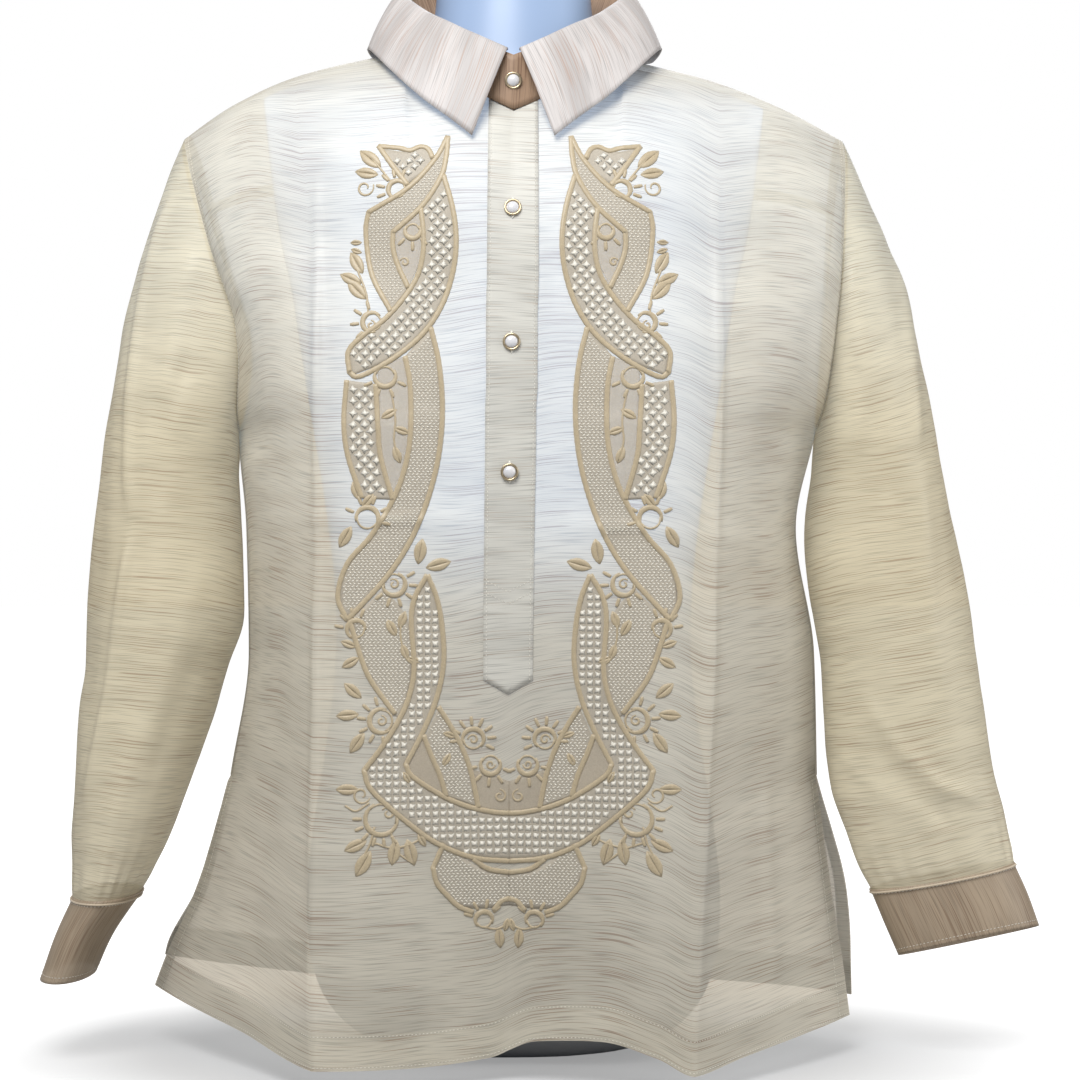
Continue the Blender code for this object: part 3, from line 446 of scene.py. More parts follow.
def crease(places, line, width, depth):
    """Rise of a soft ridge, or trough where depth is negative, along a line of places in millimetres."""
    line = np.array(line, float) * MM
    best = np.full(places.shape[:-1], 1e9)
    along = np.zeros_like(best)
    starts = lengths(line)
    for start, end, begun in zip(line, line[1:], starts):
        step = np.linalg.norm(end - start)
        t = np.clip(((places - start) @ (end - start)) / step**2, 0, 1)
        gap = np.linalg.norm(places - start - t[..., None] * (end - start), axis=-1)
        closer = gap < best
        best = np.where(closer, gap, best)
        along = np.where(closer, begun + t * step, along)
    share = along / starts[-1]
    ends = np.clip(np.minimum(share, 1 - share) / CREASE_ENDS, 0, 1)
    wander = 1 + CREASE_UNEVEN * np.sin(along / (31 * MM) + 40 * line[0, 0]) * np.sin(along / (73 * MM) + 1)
    return np.exp(-((best / (width * MM)) ** 2)) * depth * MM * ends * ends * (3 - 2 * ends) * wander


def waves(grid, size, seed):
    """Uneven swells of a size in metres over a grid, from about -1 to 1."""
    flat = grid.reshape(-1, 3) / size + seed * 17.3
    return np.array([noise.noise(Vector(p)) for p in flat]).reshape(grid.shape[:-1])


def edge_fade(grid, width, sides):
    """1 inside a grid, falling to 0 within a width of its upper edge and of its sides in the rows chosen."""
    up, over = lengths(grid), lengths(grid, 1)
    gap = up[-1] - up
    side_gap = np.minimum(over, over[:, -1:] - over)
    gap = np.where(np.reshape(sides, (-1, 1)), np.minimum(gap, side_gap), gap)
    share = np.clip(gap / width, 0, 1)
    return share * share * (3 - 2 * share)


def closed_round(grid, cyclic=True):
    """A grid with its first column again at the end, if it goes round."""
    return np.concatenate([grid, grid[:, :1]], axis=1) if cyclic else grid


def cut_size(grid, cyclic=False):
    """Width, length and area in metres of the flat cut that a grid of points stands for."""
    closed = closed_round(grid, cyclic)
    width, length = lengths(closed, 1).max(), lengths(closed).max()
    a, b = closed[1:, 1:] - closed[:-1, :-1], closed[1:, :-1] - closed[:-1, 1:]
    area = np.linalg.norm(np.cross(a, b), axis=-1).sum() / 2
    return width, length, min(area, width * length)


def as_sheet(grid, stands_for=None, cyclic=False):
    """Hides the solid that a sheet stands for, and works out the size of its flat cut."""
    if stands_for:
        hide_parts(stands_for)
    width, length, area = cut_size(grid, cyclic)


def cloth_map(grid, cyclic=False, from_end=False):
    """Distance across from the middle column and along from the first or last row, in metres."""
    closed = closed_round(grid, cyclic)
    up = lengths(closed)
    over = lengths(closed, 1).mean(axis=0, keepdims=True) + np.zeros_like(up)
    return np.stack([over - over.mean(), up - up[-1] if from_end else up], axis=-1)


def sheet_mesh(name, grid, face, thickness, material, cyclic=False, from_end=False, flat=None):
    """A sheet of cloth whose outer side is a grid of points, with a UV map in metres.

    A single sheer layer is a surface of thickness 0. Denser pieces get a wall."""
    rows, count = grid.shape[:2]
    r, c = np.meshgrid(np.arange(rows - 1), np.arange(count if cyclic else count - 1), indexing="ij")
    n = (c + 1) % count
    corners = np.stack([r * count + c, r * count + n, (r + 1) * count + n, (r + 1) * count + c], axis=-1)
    places = np.stack([np.stack([r + up, c + over]) for up, over in ((0, 0), (0, 1), (1, 1), (1, 0))])
    if face < 0:
        corners, places = corners[..., ::-1], places[::-1]
    mesh = bpy.data.meshes.new(name)
    mesh.from_pydata(grid.reshape(-1, 3).tolist(), [], corners.reshape(-1, 4).tolist())
    flat = cloth_map(grid, cyclic, from_end) if flat is None else flat
    flat = flat[places[:, 0], places[:, 1]]
    layer = mesh.uv_layers.new(name="cloth")
    layer.data.foreach_set("uv", np.moveaxis(flat, 0, 2).reshape(-1))
    mesh.shade_smooth()
    mesh.materials.append(material)
    piece = new_object(name, mesh)
    if thickness > 0:
        wall = piece.modifiers.new("wall", "SOLIDIFY")
        wall.thickness, wall.offset = thickness, -1
        bpy.ops.object.modifier_apply(modifier=wall.name)
    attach(piece, "root")
    return piece


def flat_noise(tree, vector, scale):
    """Plain noise over a flat map."""
    inputs = {"Vector": vector, "Scale": scale, "Detail": 0.0}
    return add_node(tree, "TexNoise", inputs, noise_dimensions="2D").outputs["Fac"]


def cloth_material(name, colour, slub_colour, see_through, threads_up=False, slubs=0.5, bands=0.0):
    """Sheer jusi: uneven fibre threads, a wavy watered sheen painted into the colour as paler patches, and a
    few dark slub threads.
    """
    material, tree, shader = new_material(name, colour, 0.5, Alpha=see_through)
    flat = add_node(tree, "UVMap", uv_map="cloth")
    turn = add_node(tree, "Mapping", {"Vector": flat.outputs["UV"]})
    turn.inputs["Rotation"].default_value = (0, 0, math.radians(90) if threads_up else 0)
    wander = flat_noise(tree, turn.outputs["Vector"], 10.0)
    shift = add_node(tree, "VectorMath", {0: wander, 1: (0, 0.010, 0)}, operation="MULTIPLY")
    inputs = {0: turn.outputs["Vector"], 1: shift.outputs["Vector"]}
    thread = add_node(tree, "VectorMath", inputs, operation="ADD")

    def stretched(across, up):
        """Noise drawn out along the threads, from its count of patches in a metre each way."""
        inputs = {0: thread.outputs["Vector"], 1: (across, up, 1)}
        drawn = add_node(tree, "VectorMath", inputs, operation="MULTIPLY")
        return flat_noise(tree, drawn.outputs["Vector"], 1.0)

    fine, slub, watered_sheen = stretched(30, 1400), stretched(15, 1300), stretched(8, 40)
    shares = (1.0, 0.90 - 0.2 * bands, 0.66)
    pale, mid, dark = (tuple(channel * share for channel in colour) for share in shares)
    # Painted sheen: the cloth's colour is paler in the watered patches.
    shade = ramp(tree, watered_sheen, 0.3, 0.7, kind="SMOOTHSTEP")
    ground = mixed(tree, shade, mid, pale)
    ground = mixed(tree, ramp(tree, fine, 0.50, 0.85), ground, dark)
    # Slubs are rarer in the pale patches.
    bare = ramp(tree, shade, 0, 1, 0.70 - 0.12 * slubs, 0.80 - 0.12 * slubs)
    thick = ramp(tree, maths(tree, "SUBTRACT", slub, bare), 0, 0.08, 0, 0.62)
    tree.links.new(mixed(tree, thick, ground, slub_colour), shader.inputs["Base Color"])
    return material


body_cloth = cloth_material("body_jusi", (0.80, 0.742, 0.61), (0.32, 0.20, 0.125), 0.675)

# Long ironed folds, the level fold at the waist and the small drags at the armholes: the line of
# each in millimetres across and up, its width and its rise.
FRONT_CREASES = (
    (((-148, 640), (-147, 520), (-146, 400), (-146, 280), (-148, 160), (-149, 15)), 4, 2.4),
    (((158, 640), (157, 520), (152, 400), (149, 280), (142, 160), (136, 15)), 4, 2.4),
    (((-150, 700), (-148, 560), (-146, 440)), 3, 1.6),
    (((156, 700), (158, 560), (154, 440)), 3, 1.6),
    (((-205, 428), (-150, 426), (-90, 424), (-24, 425)), 4, 1.8),
    (((21, 421), (90, 419), (160, 412), (238, 406)), 4, 1.8),
    (((194, 230), (199, 150), (204, 60)), 5, 1.6),
    (((-215, 600), (-209, 540), (-200, 465)), 14, -4.0),
    (((235, 600), (230, 540), (225, 475)), 14, -4.0),
    (((-304, 597), (-262, 585), (-230, 562)), 7, 2.0),
    (((-196, 330), (-202, 230), (-222, 120), (-238, 50)), 16, 3.0),
    (((-100, 300), (-92, 180), (-96, 30)), 30, 2.0),
    (((70, 300), (64, 170), (60, 40)), 26, -2.0),
    (((-60, 240), (-44, 120), (-40, 30)), 18, -1.6),
    (((100, 260), (104, 150), (98, 25)), 16, 1.6),
    (((-180, 640), (-172, 560), (-176, 470)), 16, 2.0),
    (((196, 640), (190, 560), (192, 470)), 16, 2.0),
)


def creased(grid, face, lines, fade, seed):
    """A panel moved out along its normals by its creases and by slight uneven swells."""
    rise = sum(crease(grid[..., [0, 2]], *line) for line in lines)
    rise = rise + (waves(grid, 85 * MM, seed) + waves(grid, 30 * MM, seed + 5) * 0.3) * PANEL_SWELL
    return grid + normals(grid, face) * (rise * fade)[..., None]


EDGE_WIDTH = 22 * MM  # how far from a seam the creases die away
PANEL_SWELL = 1.2 * MM

front_flat = panel_grid(FRONT)
sewn_sides = PANEL_LEVELS >= 1
front_fade = edge_fade(front_flat, EDGE_WIDTH, sewn_sides)
front_grid = creased(front_flat, 1, FRONT_CREASES, front_fade, seed=1)
front = sheet_mesh("front_cloth", front_grid, 1, 0, body_cloth)
as_sheet(front_grid, "front")

# ---------------------------------------------------------------------------------------------
# Back. A second length of the same cloth, cut whole below the yoke and sewn to it in a flat seam. It
# hangs free of the form, with soft folds and no embroidery.

BACK_CREASES = (
    (((-142, 620), (-138, 480), (-138, 320), (-140, 160), (-142, 20)), 5, 1.2),
    (((146, 620), (142, 480), (142, 320), (143, 160), (142, 20)), 5, 1.2),
    (((-200, 428), (-100, 422), (0, 424), (110, 418), (220, 410)), 4, 0.9),
    (((-206, 600), (-200, 540), (-196, 470)), 14, -4.0),
    (((226, 600), (220, 540), (218, 470)), 14, -4.0),
    (((-80, 330), (-84, 180), (-78, 30)), 24, 2.2),
    (((60, 340), (66, 180), (60, 30)), 24, 2.2),
    (((-10, 300), (-6, 160), (-8, 30)), 22, -2.0),
    (((-200, 300), (-216, 190), (-244, 50)), 18, 3.0),
    (((200, 290), (212, 160), (222, 50)), 18, 3.0),
)
YOKE_LEVEL = 3 + 1 / 3  # where the yoke's lower seam crosses the back

back_flat = panel_grid(BACK)
back_fade = edge_fade(back_flat, EDGE_WIDTH, sewn_sides)
yoke_row = int(np.argmin(np.abs(PANEL_LEVELS - YOKE_LEVEL)))
back_grid = creased(back_flat, -1, BACK_CREASES, back_fade, seed=2)
lower_grid = back_grid[: yoke_row + 1].copy()
lower_grid[-1] += unit(lower_grid[-2] - lower_grid[-1]) * SEAM
back = sheet_mesh("back_cloth", lower_grid, -1, 0, body_cloth)
as_sheet(lower_grid, "back")

# ---------------------------------------------------------------------------------------------
# Back yoke. A level band of the same cloth over the shoulder blades, sewn to the front along the
# ridge of the shoulders and to the stand round the neck. It rests on the form.

yoke = sheet_mesh("yoke_cloth", back_grid[yoke_row:], -1, 0, body_cloth)
as_sheet(back_grid[yoke_row:], "back_yoke")

# ---------------------------------------------------------------------------------------------
# Sleeves. One piece of cloth each, set into the armhole with a little ease at its head and sewn
# to itself along the underside. The right one hangs flatter and the left one is narrower and fuller.

SIDES = (("right", -1), ("left", 1))
TUBE_NAMES = "z_in z_out x_in x_out y_mid y_half"
SLEEVES = {
    "right": table(
        TUBE_NAMES,
        (458, 462, 222, 333, 0, 64),
        (400, 404, 217.5, 339, -2, 66),
        (350, 354, 217, 342.5, -4, 68),
        (308, 310, 230, 344, -6, 67),
        (276, 278, 239, 347, -8, 66),
        (211, 213, 261, 349.5, -12, 64),
        (172, 173, 276, 352.5, -14, 61),
        (148, 149, 288, 352, -15, 58),
        (127, 126, 299.5, 351, -16, 55),
    ),
    "left": table(
        TUBE_NAMES,
        (458, 465, 240, 344, 0, 62),
        (415, 422, 232.5, 355, -2, 60),
        (350, 357, 240.5, 366, -5, 56),
        (308, 315, 246.5, 371.5, -8, 52),
        (255, 266, 249.5, 378, -12, 47),
        (211, 225, 254, 384, -16, 41),
        (176, 194, 266, 391, -19, 35),
        (150, 172, 275, 395.5, -21, 31),
        (130.3, 152.1, 285.7, 399.3, -22, 27),
    ),
}
SLEEVE_HEAD, SLEEVE_FULLNESS = 12 * MM, 4 * MM
SLEEVE_SWELL, SLEEVE_CRUMPLE = 1.4 * MM, 0.5 * MM
GATHER, GATHERS_ROUND = 1.6 * MM, 17  # height and number of the small gathers above each cuff
# Creases by side of the sleeve: 1 for its front and -1 for its back, then line, width and rise.
SLEEVE_CREASES = {
    "right": (
        (1, ((-268, 689), (-284, 643), (-294, 603), (-302, 520), (-302, 459), (-298, 422)), 4, 4.0),
        (1, ((-298, 422), (-308, 354), (-316, 292), (-326, 242), (-338, 190)), 4, 3.8),
        (1, ((-318, 600), (-326, 500), (-328, 380), (-338, 250)), 8, -1.6),
        (1, ((-246, 640), (-262, 600), (-268, 540), (-262, 480)), 9, 2.2),
        (1, ((-250, 560), (-272, 500), (-280, 430)), 7, -1.8),
        (1, ((-240, 400), (-262, 330), (-290, 250), (-318, 170)), 9, 1.8),
        (1, ((-232, 350), (-256, 290), (-282, 220)), 7, -1.4),
        (-1, ((-262, 680), (-288, 600), (-300, 500), (-296, 400), (-314, 290)), 7, 2.2),
        (-1, ((-240, 520), (-262, 420), (-288, 300), (-318, 180)), 10, 2.0),
        (-1, ((-322, 560), (-328, 420), (-338, 260)), 8, -1.6),
    ),
    "left": (
        (1, ((271, 292), (303, 246), (334, 217), (374, 202)), 5, 3.4),
        (1, ((256, 242), (278, 220), (299, 204)), 4, 2.4),
        (1, ((286, 690), (306, 640), (316, 560), (318, 470)), 6, 3.0),
        (1, ((258, 640), (272, 590), (276, 530), (268, 470)), 8, 2.2),
        (1, ((262, 560), (284, 500), (296, 430)), 7, -1.8),
        (1, ((318, 470), (326, 400), (330, 330), (346, 270)), 8, 1.8),
        (1, ((300, 420), (304, 350), (300, 300)), 9, -1.6),
        (1, ((340, 560), (350, 460), (356, 350)), 7, -1.6),
        (1, ((282, 250), (310, 214), (350, 184)), 6, -1.6),
        (-1, ((284, 680), (310, 590), (322, 480), (330, 360), (352, 260)), 7, 2.2),
        (-1, ((262, 540), (280, 440), (290, 320), (320, 220)), 9, 2.0),
    ),
}

last_column = len(PANEL_SPANS) - 1
under_row = int(np.argmin(np.abs(PANEL_LEVELS - UNDERARM)))
armhole_rows = np.arange(under_row, len(PANEL_LEVELS))


def on_grid(grid, row, column):
    """Points of a grid at places between its rows and columns."""
    row, column = np.broadcast_arrays(row, column)
    r = np.clip(row.astype(int), 0, grid.shape[0] - 2)
    c = np.clip(column.astype(int), 0, grid.shape[1] - 2)
    up, over = (row - r)[..., None], (column - c)[..., None]
    low = grid[r, c] * (1 - over) + grid[r, c + 1] * over
    high = grid[r + 1, c] * (1 - over) + grid[r + 1, c + 1] * over
    return low * (1 - up) + high * up


def armhole_loop(column):
    """Points from the shoulder tip down the front and up the back, on the armhole or near it."""
    front_edge = on_grid(front_grid, armhole_rows, column)[::-1]
    back_edge = on_grid(back_grid, armhole_rows, column)
    tip = (front_edge[:1] + back_edge[-1:]) / 2
    underarm = (front_edge[-1:] + back_edge[:1]) / 2
    return np.concatenate([tip, front_edge[1:-1], underarm, back_edge[1:-1]])


def loop_angles(loop):
    """Angle of each point of the armhole, from 0 at the shoulder tip round by the front."""
    half = len(loop) // 2
    along = lengths(np.concatenate([loop, loop[:1]]))
    front_half = along[:half] / along[half]
    back_half = 1 + (along[half:-1] - along[half]) / (along[-1] - along[half])
    return math.pi * np.concatenate([front_half, back_half])


def tube_rings(profile, rows, side, angles, tilt=0.0):
    """Rings of a sleeve or cuff at places between the rows of its table."""
    stations = range(len(profile["z_in"]))
    z_in, z_out, x_in, x_out, y_mid, y_half = (
        smooth(stations, profile[name], rows)[:, None] * MM for name in TUBE_NAMES.split()
    )
    out = (1 + np.cos(angles)) / 2
    x = side * (x_in + (x_out - x_in) * out)
    y = y_mid - y_half * np.sin(angles)
    z = z_in + (z_out - z_in) * out + np.sin(angles) * tilt * np.asarray(rows)[:, None] / 2
    return np.stack([x, y, z], axis=-1)


def sleeve(side, profile, creases):
    """A sleeve from its armhole to its gathered end, with its creases; also its armhole's angles."""
    loop = armhole_loop(0 if side < 0 else last_column)
    angles = loop_angles(loop)
    start = loop + np.array([side * SEAM, 0, 0])
    lower = tube_rings(profile, np.linspace(0, len(profile["z_in"]) - 1, 60), side, angles)
    share = np.linspace(0, 1, 45)[:-1, None, None]
    swell = (4 * share * (1 - share))[..., 0]
    fan = start + (lower[0] - start) * share
    fan[..., 0] += side * SLEEVE_HEAD * np.maximum(np.cos(angles), 0) * swell
    fan[..., 1] -= SLEEVE_FULLNESS * np.sin(angles) * swell
    grid = np.concatenate([fan, lower])
    rows = np.arange(len(grid))
    grid = soften(grid, np.exp(-(((rows - len(fan)) / 9) ** 2)), 30)
    rise = waves(grid, 70 * MM, 8 + side) * SLEEVE_SWELL + waves(grid, 26 * MM, 20 + side) * SLEEVE_CRUMPLE
    gathers = np.cos(GATHERS_ROUND * angles + 2 * np.sin(3 * angles))
    rise = rise + gathers * np.exp(-(len(grid) - 1 - rows[:, None]) / 8) * GATHER
    for facing, *line in creases:
        rise = rise + crease(grid[..., [0, 2]], *line) * np.clip(0.5 + 1.6 * facing * np.sin(angles), 0, 1)
    fade = np.clip(rows / 6, 0, 1) * np.clip((len(grid) - 1 - rows) / 5, 0, 1)
    grid = grid + normals(grid, side, cyclic=True) * (rise * fade[:, None])[..., None]
    return grid, angles


sleeve_cloth = cloth_material("sleeve_jusi", (0.83, 0.75, 0.55), (0.33, 0.21, 0.12), 0.70)
cuff_cloth = cloth_material(
    "cuff_jusi", (0.49, 0.385, 0.275), (0.24, 0.15, 0.09), 0.8, threads_up=True, slubs=0.9
)
sleeve_rings, sleeve_angles = {}, {}
for name, side in SIDES:
    grid, angles = sleeve(side, SLEEVES[name], SLEEVE_CREASES[name])
    sleeve_rings[name], sleeve_angles[name] = grid, angles
    piece = sheet_mesh(f"sleeve_{name}_cloth", grid, side, 0, sleeve_cloth, cyclic=True, from_end=True)
    as_sheet(grid, f"sleeve_{name}", cyclic=True)

# ---------------------------------------------------------------------------------------------
# Cuffs. A double band that each sleeve is gathered into, cut with its threads running the other
# way, so that its slubs run along the arm.

CUFFS = {
    "right": table(
        TUBE_NAMES,
        (126.2, 125.2, 299, 351.5, -16, 55.5),
        (92, 94, 322, 365, -18, 54.5),
        (64.5, 63.5, 334, 375.5, -20, 53),
    ),
    "left": table(
        TUBE_NAMES,
        (129.5, 151.3, 285.5, 399.8, -22, 27.5),
        (104, 128, 296, 410, -24, 27.5),
        (79.5, 103, 306.6, 418.7, -26, 26.5),
    ),
}
CUFF_TILT = {"right": 0.0, "left": 6 * MM}
CUFF_LIP = 0.8 * MM  # how far its upper edge stands over the end of the sleeve
DOUBLE = 1.2 * MM  # thickness of a piece that is two layers with a stiffening between
DOUBLE_SWELL = 0.7 * MM


def swollen(grid, face, size, seed, cyclic=False):
    """A double piece's grid with its slight uneven swells."""
    return grid + normals(grid, face, cyclic) * (waves(grid, size, seed) * DOUBLE_SWELL)[..., None]


cuff_rings = {}
for name, side in SIDES:
    rings = tube_rings(CUFFS[name], np.linspace(0, 2, 24), side, sleeve_angles[name], CUFF_TILT[name])
    rings = swollen(rings, side, 40 * MM, 30 + side, cyclic=True)
    rings = np.concatenate([2 * rings[:1] - rings[1:2], rings])
    rings[:2] += normals(rings, side, cyclic=True)[:2] * CUFF_LIP
    cuff_rings[name] = rings
    piece = sheet_mesh(f"cuff_{name}_cloth", rings, side, DOUBLE, cuff_cloth, cyclic=True)
    as_sheet(rings, f"cuff_{name}", cyclic=True)

# ---------------------------------------------------------------------------------------------
# Collar stand. A stiffened double band round the neck. Its left end laps over its right end in the
# middle of the front, where the top button closes it.

COLLAR = table(
    "turn fold_x fold_y fold_z edge_x edge_y edge_z",
    (0, 0, -101, 785, 27, -120, 714),
    (13, 22, -92, 796, 46, -112.5, 730),
    (33, 48, -71, 811.5, 72, -98, 751),
    (58, 72, -42, 827, 100, -70, 780),
    (90, 94, -4, 849, 117, -14, 802),
    (122, 90, 40, 861, 112, 34, 801),
    (147, 66, 65, 866, 88, 67, 806),
    (167, 34, 78, 868, 50, 85, 811),
    (180, 0, 82, 868.5, 0, 91, 813),
)
STAND_RISE, STAND_INSET, STAND_DROP = -1.2 * MM, 3.8 * MM, 2.4 * MM
STAND_BOW, STAND_LAP, STAND_OUT = 0.5 * MM, 2.1 * MM, 0.6 * MM
LAP_TURN = 13  # how far past the middle of the front each end of the stand reaches, in degrees
UP = np.array([0, 0, 1.0])


def collar_places(turn, side, kind):
    """Points of the collar's fold line or of the leaf's edge."""
    x, y, z = (read(COLLAR, "turn", f"{kind}_{axis}", turn) for axis in "xyz")
    return np.stack([side * x + NECK_X, y, z], axis=-1)


def neck_places(turn, side):
    """Points of the neckline at turns from the front's middle, on either side of the neck."""
    angle = np.where(turn <= 90, turn, 180 - turn)
    share = smooth(NECKLINE["turn"], NECKLINE["share"], angle)
    span = 2 + side * share / 2
    ends = np.full_like(span, TOP)
    front_side, back_side = panel_points(FRONT, span, ends), panel_points(BACK, span, ends)
    return np.where((turn <= 90)[:, None], front_side, back_side)


def outwards(turn, side):
    """Level directions away from the neck."""
    angle = np.radians(turn)
    return np.stack([side * np.sin(angle), -np.cos(angle), np.zeros_like(angle)], axis=-1)


def stand_sections():
    """The stand's points from its inner end round the neck to its outer end, in rows up its height."""
    inner, round_turn = np.linspace(LAP_TURN, 0, 6)[:-1], np.linspace(0, 180, 61)
    turn = np.concatenate([inner, round_turn, round_turn[-2::-1], inner[::-1]])
    side = np.concatenate([np.ones(5), -np.ones(61), np.ones(60), -np.ones(5)])
    # The lap rises off the inner end over the last stretch.
    lap = np.concatenate([np.zeros(len(turn) - 13), smooth([0, 7], [0, 1], np.arange(13)) * STAND_LAP])
    out = outwards(turn, side)
    low = neck_places(turn, side) + out * (lap[:, None] + STAND_OUT) + UP * STAND_RISE
    high = collar_places(turn, side, "fold") + out * (lap[:, None] - STAND_INSET) - UP * STAND_DROP
    share = np.linspace(0, 1, 9)[:, None, None]
    return low + (high - low) * share + out * (4 * share * (1 - share)) * STAND_BOW


stand_cloth = cloth_material(
    "stand_jusi", (0.44, 0.29, 0.19), (0.18, 0.10, 0.06), 0.9, threads_up=True, slubs=0.9
)
stand_grid = stand_sections()
stand = sheet_mesh("stand_cloth", stand_grid, 1, DOUBLE, stand_cloth)
as_sheet(stand_grid, "collar_stand")

# ---------------------------------------------------------------------------------------------
# Collar leaf. The double turned-down collar, folded over the top of the stand. It falls to two
# points at the front and stands a little off the shoulders.

COLLAR_END = 3.0  # turn at which each point's edge begins, in degrees
LEAF_STEPS = ((-5.6, -0.8), (-3.8, -0.1), (-2.0, 0.0), (0.2, -0.3), (1.3, -1.6))  # out and up, in millimetres
LEAF_BOW = (1.6, 0.8)


def leaf_sections():
    """The leaf's points from its inner edge over the fold to its outer edge, round the neck."""
    right = np.concatenate([[COLLAR_END], np.linspace(5, 180, 71)])
    turn = np.concatenate([right, right[-2::-1]])
    side = np.concatenate([-np.ones(len(right)), np.ones(len(right) - 1)])
    out = outwards(turn, side)
    fold, edge = collar_places(turn, side, "fold"), collar_places(turn, side, "edge")
    rows = [fold + (out * across + UP * rise) * MM for across, rise in LEAF_STEPS]
    last = rows[-1]
    for share in np.linspace(0, 1, 17)[1:]:
        bow = (out * LEAF_BOW[0] + UP * LEAF_BOW[1]) * MM * 4 * share * (1 - share)
        rows.append(last + (edge - last) * share + bow)
    return np.stack(rows)


collar_cloth = cloth_material(
    "collar_jusi", (0.66, 0.62, 0.60), (0.46, 0.31, 0.24), 0.9, threads_up=True, slubs=0.7, bands=0.5
)
leaf_grid = swollen(leaf_sections(), -1, 45 * MM, 40)
leaf = sheet_mesh("leaf_cloth", leaf_grid, -1, DOUBLE, collar_cloth)
as_sheet(leaf_grid, "collar_leaf")

# ---------------------------------------------------------------------------------------------
# Placket. A strip of denser cloth over the front's opening, folded in at both edges and stitched
# down along them. It ends in a point below the waist.

PLACKET_HALF = 0.125  # half its width, in spans of the front
PLACKET_CORNER_Z, PLACKET_TIP_Z = 305 * MM, 294 * MM
PLACKET_THICK = 0.7 * MM


def row_at(grid, column, z):
    """The place between a grid's rows where a column reaches a height."""
    heights = on_grid(grid, np.arange(grid.shape[0]), column)[:, 2]
    return float(np.interp(z, heights, np.arange(grid.shape[0])))


def placket_grid():
    """The strip's outer points, laid on the creased front and lifted off it."""
    shares = np.linspace(-1, 1, 13)
    columns = (2 + shares * PLACKET_HALF) / SPANS * (front_grid.shape[1] - 1)
    end_z = PLACKET_TIP_Z + (PLACKET_CORNER_Z - PLACKET_TIP_Z) * np.abs(shares)
    first = np.array([row_at(front_grid, column, z) for column, z in zip(columns, end_z)])
    last = front_grid.shape[0] - 1.3
    up = np.linspace(0, 1, 110)[:, None]
    rows = first * (1 - up) + last * up
    laid = on_grid(front_grid, rows, columns[None, :])
    return laid + normals(laid, 1) * (SEAM + PLACKET_THICK)


placket_cloth = cloth_material("placket_jusi", (0.75, 0.73, 0.66), (0.40, 0.28, 0.19), 0.8, slubs=0.3)
strip_grid = placket_grid()
strip_flat = strip_grid[..., [0, 2]]
strip = sheet_mesh("placket_strip", strip_grid, 1, PLACKET_THICK, placket_cloth, flat=strip_flat)
as_sheet(strip_grid, "placket")

# ---------------------------------------------------------------------------------------------
# Hems and facings. Each panel's lower edge is turned up inside as a broad second layer, and the
# sides of both slits are turned in as narrow ones, so they look denser than the single cloth.

HEM_DEPTH, FACING_WIDTH = 27 * MM, 17 * MM
HEM_ROWS, FACING_COLUMNS = 30, 20  # part of a panel's net of points that holds each
HEM_INSIDE, FACING_INSIDE = CLOTH * 1.2, CLOTH * 2.4  # how far inside the panel each lies
SLIT_ROW = int(np.argmin(np.abs(PANEL_LEVELS - 1)))
PANELS = (("front", front_grid, 1, front), ("back", back_grid, -1, back))


def reach(lines, distance):
    """How many places along each line of points lie within a distance of its start."""
    return np.array([np.interp(distance, line, np.arange(len(line))) for line in lengths(lines, 1)])


def hem_reach(grid, depth):
    """How many rows up each column of a panel a depth above the hem reaches."""
    return reach(np.moveaxis(grid[:HEM_ROWS], 0, 1), depth)


def slit_reach(grid, sign, row_count, width):
    """How many columns in from a slit a width reaches, in the rows from the hem up."""
    return reach(grid[:row_count, ::sign][:, :FACING_COLUMNS], width)


def inner_layer(name, grid, face, rows, columns, depth):
    """A second layer of cloth inside a panel, at places of the panel's own grid."""
    laid = on_grid(grid, rows, columns)
    laid = laid - normals(laid, face) * depth
    piece = sheet_mesh(name, laid, face, 0, body_cloth)
    as_sheet(laid)


for name, grid, face, panel_piece in PANELS:
    rows = np.linspace(0, 1, 8)[:, None] * hem_reach(grid, HEM_DEPTH)
    columns = np.arange(last_column + 1)[None, :]
    inner_layer(f"{name}_hem", grid, face, rows, columns, HEM_INSIDE)
    rows = np.arange(SLIT_ROW + 3)[:, None]
    for side, start, sign in (("right", 0, 1), ("left", last_column, -1)):
        inwards = slit_reach(grid, sign, len(rows), FACING_WIDTH)[:, None] * np.linspace(0, 1, 6)
        columns = (start + sign * inwards)[:, ::sign]
        inner_layer(f"{name}_facing_{side}", grid, face, rows, columns, FACING_INSIDE)

# ---------------------------------------------------------------------------------------------
# Seams. The cloth's turnings show through it as narrow denser bands: inside at the side seams and
# round the armholes, and as flat felled seams on the outside along the shoulders and the yoke.

SEAM_STEPS = 1.8  # how far a turning reaches, in columns of a panel
SEAM_INSIDE = -CLOTH * 1.3  # lift of the turnings that lie inside


def seam_band(name, lines, face, lift, cyclic=False):
    """A narrow band that bridges a seam, from lines of points across it, moved out by a lift."""
    grid = np.stack(lines)
    grid = grid + normals(grid, face, cyclic) * lift
    piece = sheet_mesh(name, grid, face, 0, body_cloth, cyclic)


seam_rows = np.arange(SLIT_ROW, under_row + 1)
seam_columns = {"right": (0, SEAM_STEPS), "left": (last_column, last_column - SEAM_STEPS)}
for name, side in SIDES:
    edge, inwards = seam_columns[name]
    lines = [on_grid(front_grid, seam_rows, inwards), front_grid[seam_rows, edge]]
    lines += [back_grid[seam_rows, edge], on_grid(back_grid, seam_rows, inwards)]
    seam_band(f"side_seam_{name}", lines, side, SEAM_INSIDE)
    lines = [armhole_loop(inwards), armhole_loop(edge), sleeve_rings[name][0], sleeve_rings[name][1]]
    seam_band(f"armhole_seam_{name}", lines, side, SEAM_INSIDE, cyclic=True)

